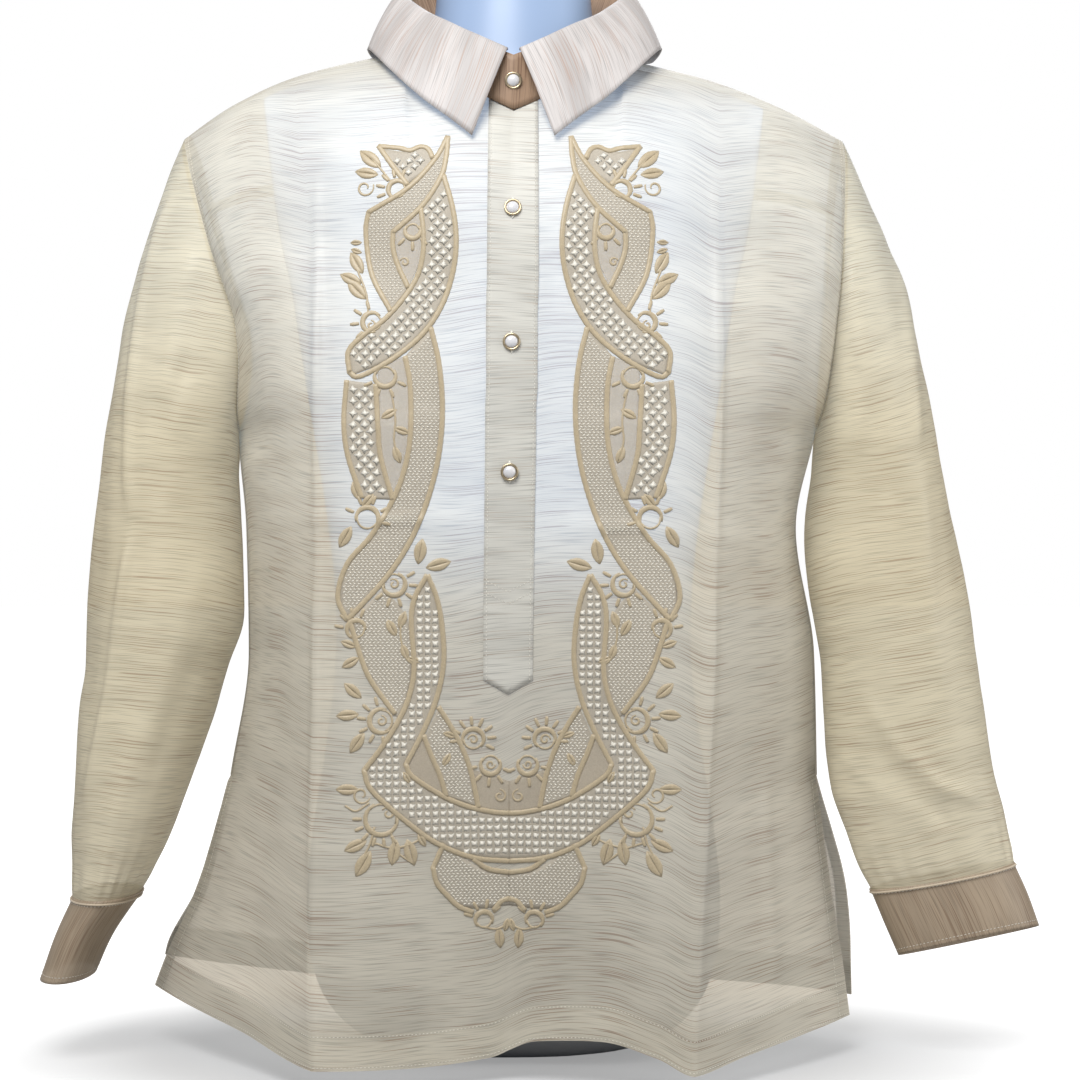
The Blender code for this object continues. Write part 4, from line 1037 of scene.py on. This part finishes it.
SHOULDER_COLUMNS = 61  # of a panel, on each shoulder
for name, columns in (("right", slice(SHOULDER_COLUMNS)), ("left", slice(-SHOULDER_COLUMNS, None))):
    lines = [front_grid[-2, columns], front_grid[-1, columns], back_grid[-1, columns], back_grid[-2, columns]]
    seam_band(f"shoulder_seam_{name}", lines, 1, CLOTH)
seam_band("yoke_seam", back_grid[yoke_row - 1 : yoke_row + 2], -1, CLOTH)

# ---------------------------------------------------------------------------------------------
# Stitching. Ivory sewing thread in short even stitches along the top and the fold of each hem, and
# along the slits, the armholes, both edges of the placket, the cuffs and the collar's edge.

STITCH_PITCH, STITCH_LENGTH, STITCH_RADIUS = 3.0 * MM, 2.3 * MM, 0.28 * MM
STITCH_LIFT = 0.05 * MM  # of the thread's middle off the cloth


def thread_material(name, colour, roughness, sheen):
    """Twisted thread: a plain soft sheen with fine streaks across its length."""
    material, tree, shader = new_material(name, colour, roughness, Sheen_Weight=sheen, Anisotropic=0.4)
    grain = add_node(tree, "TexNoise", {"Vector": own_places(tree), "Scale": 900.0, "Detail": 0.0})
    shade = ramp(tree, grain.outputs["Fac"], 0.3, 0.7, 0.72, 1.0)
    shadowed = tuple(channel * 0.6 for channel in colour)
    tree.links.new(mixed(tree, shade, shadowed, colour), shader.inputs["Base Color"])
    return material


def points_at(line, distances):
    """Points of a line at distances from its start."""
    along = lengths(line)
    return np.stack([np.interp(distances, along, axis) for axis in line.T], axis=-1)


def even_points(line, pitch):
    """Points and directions at an even pitch along a line of points."""
    at = np.arange(pitch / 2, lengths(line)[-1] - pitch / 2, pitch)
    places, ahead = points_at(line, at), points_at(line, at + pitch / 4)
    return places, unit(ahead - places)


def loose_piece(name, points, faces, material):
    """A piece of many small closed shapes, with their faces turned outwards."""
    mesh = bpy.data.meshes.new(name)
    mesh.from_pydata(points, [], faces)
    mesh.materials.append(material)
    piece = new_object(name, mesh)
    bpy.ops.object.mode_set(mode="EDIT")
    bpy.ops.mesh.select_all(action="SELECT")
    bpy.ops.mesh.normals_make_consistent(inside=False)
    bpy.ops.object.mode_set(mode="OBJECT")
    mesh.shade_smooth()
    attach(piece, "root")
    return piece


def stitches(name, lines, material):
    """Stitches along lines of points, each a slim spindle of eight faces."""
    points, faces = [], []
    for line in lines:
        for place, heading in zip(*even_points(line, STITCH_PITCH)):
            side = unit(np.cross(heading, UP if abs(heading[2]) < 0.9 else [0, 1.0, 0]))
            up = np.cross(side, heading)
            first = len(points)
            ring = [side, up, -side, -up]
            points.append((place - heading * STITCH_LENGTH / 2).tolist())
            points += [(place + arm * STITCH_RADIUS).tolist() for arm in ring]
            points.append((place + heading * STITCH_LENGTH / 2).tolist())
            for k in range(4):
                n = (k + 1) % 4
                faces.append((first, first + 1 + n, first + 1 + k))
                faces.append((first + 5, first + 1 + k, first + 1 + n))
    return loose_piece(name, points, faces, material)


def line_on(grid, face, rows, columns):
    """A line of points just off a grid, at places between its rows and columns."""
    return on_grid(grid, rows, columns) + on_grid(normals(grid, face), rows, columns) * STITCH_LIFT


sewing = thread_material("sewing_thread", (0.86, 0.83, 0.74), 0.55, 0.3)

# Front and back.
STITCH_INSET = 1.5 * MM  # of the stitching from the edge that it holds down
FOLD_ROW, ARMHOLE_COLUMN = 0.4, 1.4  # of a panel, for the stitches at the hem's fold and the armhole
for name, grid, face, _ in PANELS:
    columns = np.arange(last_column + 1)
    hem_top = hem_reach(grid, HEM_DEPTH - STITCH_INSET)
    lines = [line_on(grid, face, hem_top, columns), line_on(grid, face, FOLD_ROW, columns)]
    slit_rows = np.arange(SLIT_ROW + 1)
    for sign, start in ((1, 0), (-1, last_column)):
        inwards = slit_reach(grid, sign, len(slit_rows), FACING_WIDTH - STITCH_INSET)
        lines.append(line_on(grid, face, slit_rows, start + sign * inwards))
        lines.append(line_on(grid, face, armhole_rows, start + sign * ARMHOLE_COLUMN))
    stitches(f"{name}_stitches", lines, sewing)

# The placket is stitched down both edges, and across it where the slash ends, level and in a point.
STRIP_EDGES, STRIP_MIDDLE = (0.7, 11.3), 6  # columns of the strip
BOX_TOP_Z, BOX_Z, BOX_TIP_Z = 371 * MM, 370 * MM, 362 * MM
lines = [line_on(strip_grid, 1, np.arange(strip_grid.shape[0]), column) for column in STRIP_EDGES]
level_row = row_at(strip_grid, STRIP_MIDDLE, BOX_TOP_Z)
lines.append(line_on(strip_grid, 1, level_row, np.linspace(*STRIP_EDGES, 12)))
point_columns = np.array([STRIP_EDGES[0], STRIP_MIDDLE, STRIP_EDGES[1]])
point_rows = [row_at(strip_grid, column, z) for column, z in zip(point_columns, (BOX_Z, BOX_TIP_Z, BOX_Z))]
lines.append(line_on(strip_grid, 1, np.array(point_rows), point_columns))
stitches("placket_stitches", lines, sewing)

# Cuffs, near their upper and lower edges.
lines = []
for name, side in SIDES:
    rings = closed_round(cuff_rings[name])
    for row in (1.5, len(rings) - 3.0):
        lines.append(line_on(rings, side, row, np.arange(rings.shape[1])))
stitches("cuff_stitches", lines, sewing)

# The collar's edge and its two points.
leaf_rows, leaf_columns = leaf_grid.shape[:2]
lines = [line_on(leaf_grid, -1, leaf_rows - 2.2, np.arange(1, leaf_columns - 1))]
for column in (1.2, leaf_columns - 2.2):
    lines.append(line_on(leaf_grid, -1, np.arange(4, leaf_rows - 2), column))
stitches("collar_stitches", lines, sewing)


def piping(name, line, outward, radius, material, closed=True):
    """A thin filled roll along a line of points that faces outward along it."""
    along = np.roll(line, -1, axis=0) - np.roll(line, 1, axis=0) if closed else np.gradient(line, axis=0)
    across = unit(np.cross(along, outward))
    angle = np.linspace(0, 2 * math.pi, 9)[:-1, None]
    ring = outward[:, None] * np.cos(angle) + across[:, None] * np.sin(angle)
    points = (line[:, None] + ring * radius).reshape(-1, 3)
    count = len(line)
    faces = []
    for i in range(count if closed else count - 1):
        low, high = i * 8, (i + 1) % count * 8
        faces += [(low + k, low + (k + 1) % 8, high + (k + 1) % 8, high + k) for k in range(8)]
    if not closed:
        faces += [tuple(range(8)), tuple(range((count - 1) * 8, count * 8))]
    loose_piece(name, points.tolist(), faces, material)


# A thin rolled edge round the top of each cuff and along the foot of the stand.
CUFF_PIPING, STAND_PIPING = 0.9 * MM, 0.8 * MM
cuff_roll = thread_material("cuff_piping", (0.60, 0.50, 0.37), 0.6, 0.3)
for name, side in SIDES:
    rings = cuff_rings[name]
    outward = normals(rings, side, cyclic=True)[1]
    piping(f"cuff_{name}_piping", rings[1], outward, CUFF_PIPING, cuff_roll)
stand_roll = thread_material("stand_piping", (0.40, 0.27, 0.19), 0.6, 0.3)
outward = normals(stand_grid, 1)[1]
piping("stand_piping", stand_grid[1], outward, STAND_PIPING, stand_roll, closed=False)

# ---------------------------------------------------------------------------------------------
# Embroidery. Beige satin stitch and ivory filling stitches, alike on both sides of the chest: two
# crossing ribbons, a broad band that joins them in a curve below the placket, and small suns, curls
# and leaves. Places are millimetres outwards from the middle and up from the floor.

MIDDLE_X = -2 * MM
front_tree = BVHTree.FromPolygons(
    front_grid.reshape(-1, 3).tolist(),
    [
        (k, k + 1, k + 1 + len(PANEL_SPANS), k + len(PANEL_SPANS))
        for row in range(len(PANEL_LEVELS) - 1)
        for k in range(row * len(PANEL_SPANS), (row + 1) * len(PANEL_SPANS) - 1)
    ],
)


def lay(places, side):
    """Points of the front, and its outward directions there, at places on one side of its middle."""
    found, facing = [], []
    for out, up in places:
        origin = Vector((MIDDLE_X + side * out * MM, -0.4, up * MM))
        hit, normal, _, _ = front_tree.ray_cast(origin, Vector((0, 1, 0)))
        found.append(hit)
        facing.append(normal if normal.y < 0 else -normal)
    return np.array(found), np.array(facing)


CURVE_PITCH = 1.8  # of the places along a line, in millimetres


def smooth_runs(line):
    """The parts of a line of places between its corners, which are places given twice."""
    corners = [k for k in range(1, len(line)) if line[k] == line[k - 1]]
    return [line[start:end] for start, end in zip([0] + corners, corners + [len(line)])]


def curve(line):
    """Close places along a line, which is smooth between its corners."""
    found = []
    for run in smooth_runs(line):
        run = np.array(run, float)
        guide = np.concatenate([[2 * run[0] - run[1]], run, [2 * run[-1] - run[-2]]])
        for k in range(len(run) - 1):
            before, start, end, after = guide[k : k + 4]
            count = max(int(np.linalg.norm(end - start) / CURVE_PITCH), 1)
            t = (np.arange(count) / count)[:, None]
            found.append(
                start
                + (end - before) * t / 2
                + (before - 2.5 * start + 2 * end - after / 2) * t * t
                + (1.5 * start - before / 2 - 1.5 * end + after / 2) * t**3
            )
        found.append(run[-1:])
    return np.concatenate(found)


# A satin cord's section, from edge to edge over its crown, as shares of its width and height.
CORD_SECTION = ((-0.5, -0.25), (-0.43, 0.55), (-0.2, 0.93), (0.2, 0.93), (0.43, 0.55), (0.5, -0.25))


def add_cord(store, places, side, width, height, swell=0.0):
    """Adds a raised satin cord along places; swell 1 thins it to points at both ends."""
    points, facing = lay(places, side)
    across = np.cross(facing, unit(np.gradient(points, axis=0)))
    share = np.linspace(0, 1, len(points))
    size = 1 - swell + swell * np.sin(np.pi * np.clip(share, 0.04, 0.96)) ** 0.8
    size = size * (1 + 0.05 * np.sin(np.arange(len(points)) * 1.9))
    first = len(store["points"])
    for point, out, over, s in zip(points, facing, across, size):
        for a, b in CORD_SECTION:
            store["points"].append(tuple(point + over * a * width * s * MM + out * b * height * s * MM))
    ring = len(CORD_SECTION)
    for i in range(len(points) - 1):
        low = first + i * ring
        for k in range(ring):
            n = (k + 1) % ring
            store["faces"].append((low + k, low + n, low + ring + n, low + ring + k))
    store["faces"].append(tuple(range(first, first + ring)))
    store["faces"].append(tuple(range(first + (len(points) - 1) * ring, first + len(points) * ring)))


# In each line a place that is given twice is a corner. The ribbons: filling stitch, then the inner
# and the outer edge from top to bottom. A bare one is only backed by net.
RIBBONS = (
    ("net",
     ((48, 702), (52, 685), (66, 663), (88, 643), (88, 643), (88, 631), (84, 617), (76, 600)),
     ((49, 714), (57, 699), (77, 677), (107, 659), (107, 659), (109, 643), (104, 611), (89, 582))),
    ("net",
     ((59, 570), (53, 545), (50, 515), (51, 486), (56, 457), (66, 426), (79, 400), (95, 378), (120, 352)),
     ((78, 548), (74, 524), (73, 505), (74, 486), (80, 457), (90, 434), (104, 412), (121, 392), (126, 366),
      (121, 352))),
    ("star",
     ((50, 687), (43, 662), (40, 638), (42, 614), (50, 588), (64, 566), (86, 547), (119, 533)),
     ((67, 661), (65, 644), (65, 627), (69, 610), (79, 593), (94, 576), (110, 564), (121, 552))),
    ("star",
     ((100, 527), (98, 493), (96, 472), (87, 440)),
     ((122, 530), (124, 500), (121, 474), (110, 441))),
    ("check",
     ((61, 384), (54, 366), (50, 344), (49, 318), (54, 292), (64, 267), (77, 242), (77, 242), (72, 233),
      (50, 218), (31, 209.5), (12, 205), (-0.6, 204)),
     ((62, 383), (70, 368), (73, 350), (71, 314), (75, 292), (83, 274), (95, 255), (108, 238), (108, 238),
      (102, 223), (75, 198), (52, 181), (26, 170.5), (-0.6, 167.5))),
    ("net",
     ((90, 370), (80, 358), (73, 343), (73, 343), (71, 322), (75, 293), (83, 277)),
     ((94, 374), (106, 362), (119, 352), (119, 352), (111, 324), (103, 305), (89, 283))),
    ("net",
     ((53, 284), (43, 269), (34, 251), (28, 233), (24, 209)),
     ((63, 262), (58, 248), (52, 234), (47, 218))),
    ("star",
     ((57, 698), (66, 688), (72, 683), (77, 679)),
     ((58, 700), (66, 709), (80, 706), (98, 709))),
    ("net",
     ((49, 181), (38, 174), (27, 166), (14, 160), (-0.6, 158)),
     ((57, 163), (50, 147), (38, 134), (20, 132), (-0.6, 134))),
    ("bare",
     ((87, 641), (86, 628), (82, 614), (78, 602)),
     ((67, 660), (65, 644), (66, 624), (76, 600))),
    ("bare",
     ((78, 548), (74, 524), (73, 505), (74, 486), (80, 457), (86, 440)),
     ((99, 540), (98, 515), (98, 493), (96, 472), (89, 442))),
    ("bare",
     ((64, 264), (58, 248), (52, 234), (48, 218)),
     ((65, 265), (77, 242), (68, 231), (50, 218))),
    ("bare",
     ((-0.6, 204), (12, 205), (24, 208)),
     ((-0.6, 228), (14, 233), (29, 238))),
)
# The satin outlines.
OUTLINES = (
    ((89, 582), (104, 611), (109, 643), (107, 659), (107, 659), (77, 677), (57, 699), (47, 718)),
    ((47, 718), (48, 702), (52, 685), (66, 663), (88, 643), (88, 643), (88, 631), (84, 617), (76, 600)),
    ((59, 570), (53, 545), (50, 515), (51, 486), (56, 457), (66, 426), (79, 400), (95, 378), (121, 350),
     (121, 350), (128, 368), (121, 392), (104, 412), (90, 434), (80, 457), (74, 486), (74, 524), (78, 548)),
    ((50, 687), (43, 662), (40, 638), (42, 614), (50, 588), (64, 566), (86, 547), (112, 533), (120, 536),
     (120, 536), (121, 552), (110, 564), (94, 576), (79, 593), (69, 610), (65, 627), (65, 644), (67, 661)),
    ((122, 530), (124, 500), (121, 474), (110, 441)),
    ((100, 527), (98, 493), (96, 472), (87, 440)),
    ((61, 384), (54, 366), (50, 344), (49, 318), (54, 292), (64, 267), (77, 242), (77, 242), (72, 233),
     (50, 218), (31, 209.5), (12, 205), (0, 204)),
    ((61, 384), (70, 368), (73, 350), (71, 314), (75, 292), (83, 274), (95, 255), (108, 238), (108, 238),
     (102, 223), (75, 198), (52, 181), (26, 170.5), (0, 167.5)),
    ((119, 350), (111, 324), (103, 305), (85, 280)),
    ((53, 285), (43, 269), (34, 251), (28, 233), (23, 208)),
    ((64, 264), (58, 248), (52, 234), (47, 217)),
    ((58, 700), (62, 708), (68, 710), (76, 707), (84, 709), (100, 711), (100, 711), (89, 695), (77, 679)),
    ((27, 170), (16, 162), (0, 159)),
    ((49, 182), (57, 164), (57, 164), (54, 152), (46, 142), (38, 134), (27, 129)),
    ((12, 130), (6, 137), (0, 139)),
)
# Suns: middle, radius, the way they face in degrees from outwards to up, spread and number of rays.
SUNS = (
    (85, 676, 7, 45, 130, 5), (73, 644, 6, 270, 90, 3), (103, 574, 7.5, 15, 120, 4),
    (93, 533, 8, 270, 130, 4), (106, 426, 8.5, 110, 170, 5), (86, 377, 8.5, 235, 170, 6),
    (95, 275, 9, 350, 170, 6), (27, 260, 8, 100, 210, 8), (14, 241, 7.5, 275, 150, 5),
    (95, 202, 12, 300, 120, 6), (114, 343, 7, 60, 100, 4), (19, 123, 6.5, 80, 120, 4),
)
# Leaves: foot, the way they point in degrees, and length.
LEAVES = (
    (98, 694, 40, 19), (100, 688, 10, 16), (111, 612, 60, 17), (112, 604, 25, 16), (108, 592, 45, 18),
    (112, 636, 0, 8), (112, 628, 20, 8), (84, 508, 330, 12), (86, 494, 200, 11), (86, 480, 250, 12),
    (112, 440, 70, 13), (110, 434, 130, 12), (118, 420, 300, 16), (68, 392, 100, 17), (62, 389, 165, 17),
    (82, 344, 110, 12), (84, 338, 60, 13), (80, 332, 250, 11), (76, 322, 200, 9), (114, 330, 20, 11),
    (112, 322, 330, 13), (110, 292, 40, 15), (112, 280, 355, 15), (108, 266, 305, 16), (112, 224, 0, 15),
    (106, 186, 335, 16), (103, 178, 300, 19), (84, 186, 280, 17), (76, 186, 255, 18), (68, 190, 240, 10),
    (40, 262, 20, 9), (44, 250, 300, 10), (74, 228, 60, 9), (8, 117, 265, 14), (0.9, 124, 285, 9),
)
# Curls: middle, radius and the angle that they start from.
CURLS = (
    (110, 678, 7, 160), (110, 220, 7, 200), (7, 217, 5, 90), (90, 206, 5, 30), (95, 275, 4, 90),
    (27, 260, 4, 0), (86, 377, 4, 45), (14, 241, 3.5, 180), (79, 620, 3.5, 20), (104, 572, 3.5, 90),
)
STEMS = (
    ((88, 680), (96, 690), (104, 700)), ((106, 580), (108, 596), (114, 612), (118, 622)),
    ((88, 520), (85, 500), (86, 484), (82, 470)), ((80, 352), (81, 338), (77, 322), (70, 316)),
    ((104, 214), (114, 208), (122, 212)), ((100, 196), (104, 182), (112, 168)),
    ((88, 192), (84, 178), (72, 168)), ((64, 190), (70, 184), (86, 180), (100, 184)),
    ((20, 118), (10, 116), (0, 120)),
)


def arc(out, up, radius, start, end, grow=0.0, steps=None):
    """Places round an arc, from one angle to another in degrees, growing outwards or in."""
    count = steps or max(int(abs(end - start) / 18), 4)
    angle = np.radians(np.linspace(start, end, count + 1))
    size = radius * (1 + grow * np.linspace(0, 1, count + 1))
    return np.stack([out + size * np.cos(angle), up + size * np.sin(angle)], axis=-1)


def spoke(out, up, angle, near, far, bend=0.0):
    """Places along a short bent line that leads away from a place."""
    share = np.linspace(0, 1, 7)
    turn = math.radians(angle)
    ahead = near + (far - near) * share
    aside = bend * 4 * share * (1 - share)
    x = out + ahead * math.cos(turn) - aside * math.sin(turn)
    y = up + ahead * math.sin(turn) + aside * math.cos(turn)
    return np.stack([x, y], axis=-1)


# Width and height of each kind of cord, in millimetres.
OUTLINE_CORD, STEM_CORD, CURL_CORD = (4.2, 1.2), (1.7, 0.8), (2.0, 0.8)
SUN_CORD, THIN_CORD, RAY_CORD, LEAF_HEIGHT = (4.4, 1.3), (1.8, 0.8), (3.0, 1.1), 1.2

cords = {"points": [], "faces": []}
for side in (-1, 1):
    for line in OUTLINES:
        add_cord(cords, curve(line), side, *OUTLINE_CORD)
    for out, up, radius, facing, spread, rays in SUNS:
        add_cord(cords, arc(out, up, radius, facing - 125, facing + 125), side, *SUN_CORD, swell=0.7)
        add_cord(cords, arc(out, up, radius - 1, facing + 100, facing + 260), side, *THIN_CORD, swell=0.3)
        for k in range(rays):
            angle = facing + spread * (k / (rays - 1) - 0.5)
            ray = spoke(out, up, angle, radius + 2.6, radius + 9.5)
            add_cord(cords, ray, side, *RAY_CORD, swell=0.35)
    for out, up, angle, length in LEAVES:
        for bend in (0.14, -0.14):
            places = spoke(out, up, angle, 0, 1.12 * length, bend * length)
            add_cord(cords, places, side, 0.3 * length, LEAF_HEIGHT, swell=1.0)
    for out, up, radius, start in CURLS:
        add_cord(cords, arc(out, up, radius, start, start + 400, -0.7, 24), side, *CURL_CORD, swell=0.5)
    for line in STEMS:
        add_cord(cords, curve(line), side, *STEM_CORD)


def ribbon_frame(inner, outer):
    """Middle line and half-width steps of a ribbon, found run by run so that its corners match."""
    edges = [[], []]
    for found, edge in zip(edges, (inner, outer)):
        for run in smooth_runs(edge):
            line = curve(run)
            at = np.linspace(0, lengths(line)[-1], 40)[(1 if found else 0) :]
            found.append(points_at(line, at))
    near, far = (np.concatenate(found) for found in edges)
    return (near + far) / 2, (far - near) / 2


def within(places, edge, margin):
    """Which places lie inside a closed line and clear of it."""
    start, end = edge, np.roll(edge, -1, axis=0)
    step = end - start
    away = places[:, None] - start
    rise = np.where(step[:, 1] == 0, 1e-9, step[:, 1])
    crossed = (start[:, 1] > places[:, 1:]) != (end[:, 1] > places[:, 1:])
    crossed &= away[..., 0] < away[..., 1] * step[:, 0] / rise
    share = np.clip((away * step).sum(axis=-1) / np.maximum((step**2).sum(axis=-1), 1e-9), 0, 1)
    gap = np.linalg.norm(away - step * share[..., None], axis=-1).min(axis=1)
    return (crossed.sum(axis=1) % 2 == 1) & (gap > margin)


# Each filling: its pitch across and up, whether every other row is shifted by half, and its stitches'
# reach to their points, reach between them, height and turn in degrees.
FILLINGS = {
    "star": (9.0, 4.5, True, 3.7, 2.1, 0.9, 0),
    "check": (5.8, 5.8, False, 3.3, 1.8, 0.9, 45),
    "net": (3.2, 2.1, True, 1.75, 0.6, 0.6, 33),
}
FILLED_OUT, FILLED_UP = (0, 140), (100, 720)  # the whole field of the embroidery


def add_knot(store, middle, facing, size, height, angle):
    """Adds a low raised stitch whose reach goes round its points and the hollows between them."""
    over = unit(np.cross(UP, facing))
    up = np.cross(facing, over)
    first, count = len(store["points"]), len(size)
    for k, reach in enumerate(size):
        turn = 2 * math.pi * k / count + angle
        x, y = reach * math.cos(turn), reach * math.sin(turn)
        store["points"].append(tuple(middle + (over * x + up * y + facing * 0.22) * MM))
    store["points"].append(tuple(middle + facing * height * MM))
    store["points"].append(tuple(middle))
    for k in range(count):
        n = (k + 1) % count
        store["faces"].append((first + k, first + n, first + count))
        store["faces"].append((first + n, first + k, first + count + 1))


GROUND_THICK, GROUND_LIFT = 0.12 * MM, 0.16 * MM

fills, grounds = {"points": [], "faces": []}, []
hand = np.random.default_rng(7)  # no two stitches are quite alike
for side in (-1, 1):
    for kind, inner, outer in RIBBONS:
        middle, half = ribbon_frame(inner, outer)
        share = np.linspace(-1, 1, 9)
        grid = middle[:, None] + half[:, None] * share[None, :, None]
        laid, facing = lay(grid.reshape(-1, 2), side)
        laid = (laid + facing * GROUND_LIFT).reshape(*grid.shape[:2], 3)
        grounds.append((kind, side, laid))
        if kind == "bare":
            continue
        over, up, shifted, point, hollow, height, turn = FILLINGS[kind]
        edge = np.concatenate([curve(inner), curve(outer)[::-1]])
        edge[:, 0] = np.where(edge[:, 0] < 0, -8, edge[:, 0])  # it runs on past the front's middle
        rows = np.arange(*FILLED_UP, up)
        start = np.arange(len(rows)) % 2 * over / 2 if shifted else np.full(len(rows), over / 2)
        columns = np.arange(*FILLED_OUT, over)
        places = np.stack([columns + start[:, None], rows[:, None] + 0 * columns], axis=-1).reshape(-1, 2)
        places = places[within(places, edge, point * 0.55 + 1.2) & (places[:, 0] > side * -0.01)]
        size = np.array((point, hollow) * (2 if kind == "net" else 4))
        for place, point, facing in zip(places, *lay(places, side)):
            slant = turn if kind != "net" or round(place[1] / up) % 2 else -turn
            swell, sway = hand.normal(1, 0.09, len(size)), hand.normal(0, 7)
            add_knot(fills, point, facing, size * swell, height, math.radians(slant + sway))

cord_thread = thread_material("satin_cord", (0.50, 0.41, 0.27), 0.42, 0.3)
fill_thread = thread_material("filling_thread", (0.84, 0.80, 0.70), 0.48, 0.3)
ground_thread = thread_material("ground_thread", (0.47, 0.42, 0.34), 0.6, 0.2)
backing_net = thread_material("backing_net", (0.64, 0.55, 0.42), 0.6, 0.2)
backing_net.node_tree.nodes["Principled BSDF"].inputs["Alpha"].default_value = 0.45
loose_piece("embroidery_cords", cords["points"], cords["faces"], cord_thread)
loose_piece("embroidery_fills", fills["points"], fills["faces"], fill_thread)
for k, (kind, side, laid) in enumerate(grounds):
    facing = 1 if np.cross(laid[0, -1] - laid[0, 0], laid[-1, 0] - laid[0, 0])[1] < 0 else -1
    backing = backing_net if kind == "bare" else ground_thread
    ground = sheet_mesh(f"embroidery_ground_{k}", laid, facing, GROUND_THICK, backing)

# ---------------------------------------------------------------------------------------------
# Buttons. A pearly dome pressed into a thin gilt cup, sewn on by a thread shank over a worked
# buttonhole: one on the stand's lap, three down the placket and one on each cuff.

RIM_RADIUS = 0.85 * MM  # of the cup's rolled edge
CUP_RADIUS, CUP_HEIGHT = 6.7 * MM - RIM_RADIUS, 2.2 * MM  # to the middle of the rolled edge
PEARL_SIZE = (5.0 * MM, 5.0 * MM, 3.1 * MM)  # half its width, and its rise above the rolled edge's middle
BUTTONHOLE = (1.5 * MM, 8.6 * MM, 0.5 * MM)  # half sizes of its worked edge

gilt, _, _ = new_material("gilt_brass", (0.56, 0.46, 0.31), 0.32, Metallic=1.0)
PEARL_BLUE, PEARL_PALE = (0.58, 0.60, 0.66), (0.82, 0.79, 0.76)
pearl, tree, shader = new_material("pearl_dome", PEARL_PALE, 0.16, Coat_Weight=0.6, Coat_Roughness=0.08)
cloud = add_node(tree, "TexNoise", {"Vector": own_places(tree), "Scale": 260.0, "Detail": 1.0})
tint = mixed(tree, cloud.outputs["Fac"], PEARL_BLUE, PEARL_PALE)
tree.links.new(tint, shader.inputs["Base Color"])


def button_seat(name):
    """Where a button's solid stands and the way that it faces."""
    solids = [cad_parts[f"{name}_{part}"].data for part in ("rim", "pearl")]
    cup, dome = (np.array([corner.co for corner in solid.vertices]) for solid in solids)
    middle = cup.mean(axis=0)
    axis = np.linalg.svd(cup - middle)[2][-1]
    axis = axis * np.sign((dome.mean(axis=0) - middle) @ axis)
    return Vector(middle + axis * ((cup - middle) @ axis).min()), Vector(axis)


def seated(piece, name, seat, facing, material):
    """Names a piece made at the origin, sets its look and puts it where it is sewn on."""
    piece.name = piece.data.name = name
    piece.data.materials.clear()
    piece.data.materials.append(material)
    piece.rotation_mode = "QUATERNION"
    piece.rotation_quaternion = Vector((0, 0, 1)).rotation_difference(facing)
    piece.location = seat
    deselect_all()
    piece.select_set(True)
    bpy.context.view_layer.objects.active = piece
    bpy.ops.object.transform_apply(location=True, rotation=True, scale=True)
    piece.data.shade_smooth()
    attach(piece, "root")
    return piece


rim_middle = (0, 0, CUP_HEIGHT)
for name in ("button_neck", "button_1", "button_2", "button_3", "button_cuff_right", "button_cuff_left"):
    seat, facing = button_seat(name)

    deselect_all()
    bpy.ops.mesh.primitive_cylinder_add(
        vertices=48, radius=CUP_RADIUS, depth=CUP_HEIGHT - RIM_RADIUS, location=(0, 0, CUP_HEIGHT / 2)
    )
    cup = bpy.context.active_object
    rounding = cup.modifiers.new("rounding", "BEVEL")
    rounding.width, rounding.segments = 0.5 * MM, 3
    bpy.ops.object.modifier_apply(modifier=rounding.name)
    bpy.ops.mesh.primitive_torus_add(
        major_segments=48, minor_segments=12, location=rim_middle, major_radius=CUP_RADIUS,
        minor_radius=RIM_RADIUS,
    )
    cup.select_set(True)
    bpy.context.view_layer.objects.active = cup
    bpy.ops.object.join()
    seated(cup, f"{name}_gilt_cup", seat, facing, gilt)
    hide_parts(f"{name}_rim")

    deselect_all()
    bpy.ops.mesh.primitive_uv_sphere_add(
        segments=40, ring_count=20, radius=1, location=rim_middle, scale=PEARL_SIZE
    )
    dome = seated(bpy.context.active_object, f"{name}_pearl_dome", seat, facing, pearl)
    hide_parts(f"{name}_pearl")

    # The buttonhole's worked edge runs up and down, or along a cuff, and shows past the button.
    along = Vector((0, 0, 1)) - facing * facing.z
    along.normalize()
    deselect_all()
    bpy.ops.mesh.primitive_uv_sphere_add(segments=16, ring_count=10, radius=1, scale=BUTTONHOLE)
    hole = bpy.context.active_object
    bpy.ops.object.transform_apply()
    turn = Vector((0, 0, 1)).rotation_difference(facing)
    spin = (turn @ Vector((0, 1, 0))).rotation_difference(along)
    hole.data.transform((spin @ turn).to_matrix().to_4x4())
    seated(hole, f"{name}_buttonhole", seat, Vector((0, 0, 1)), sewing)
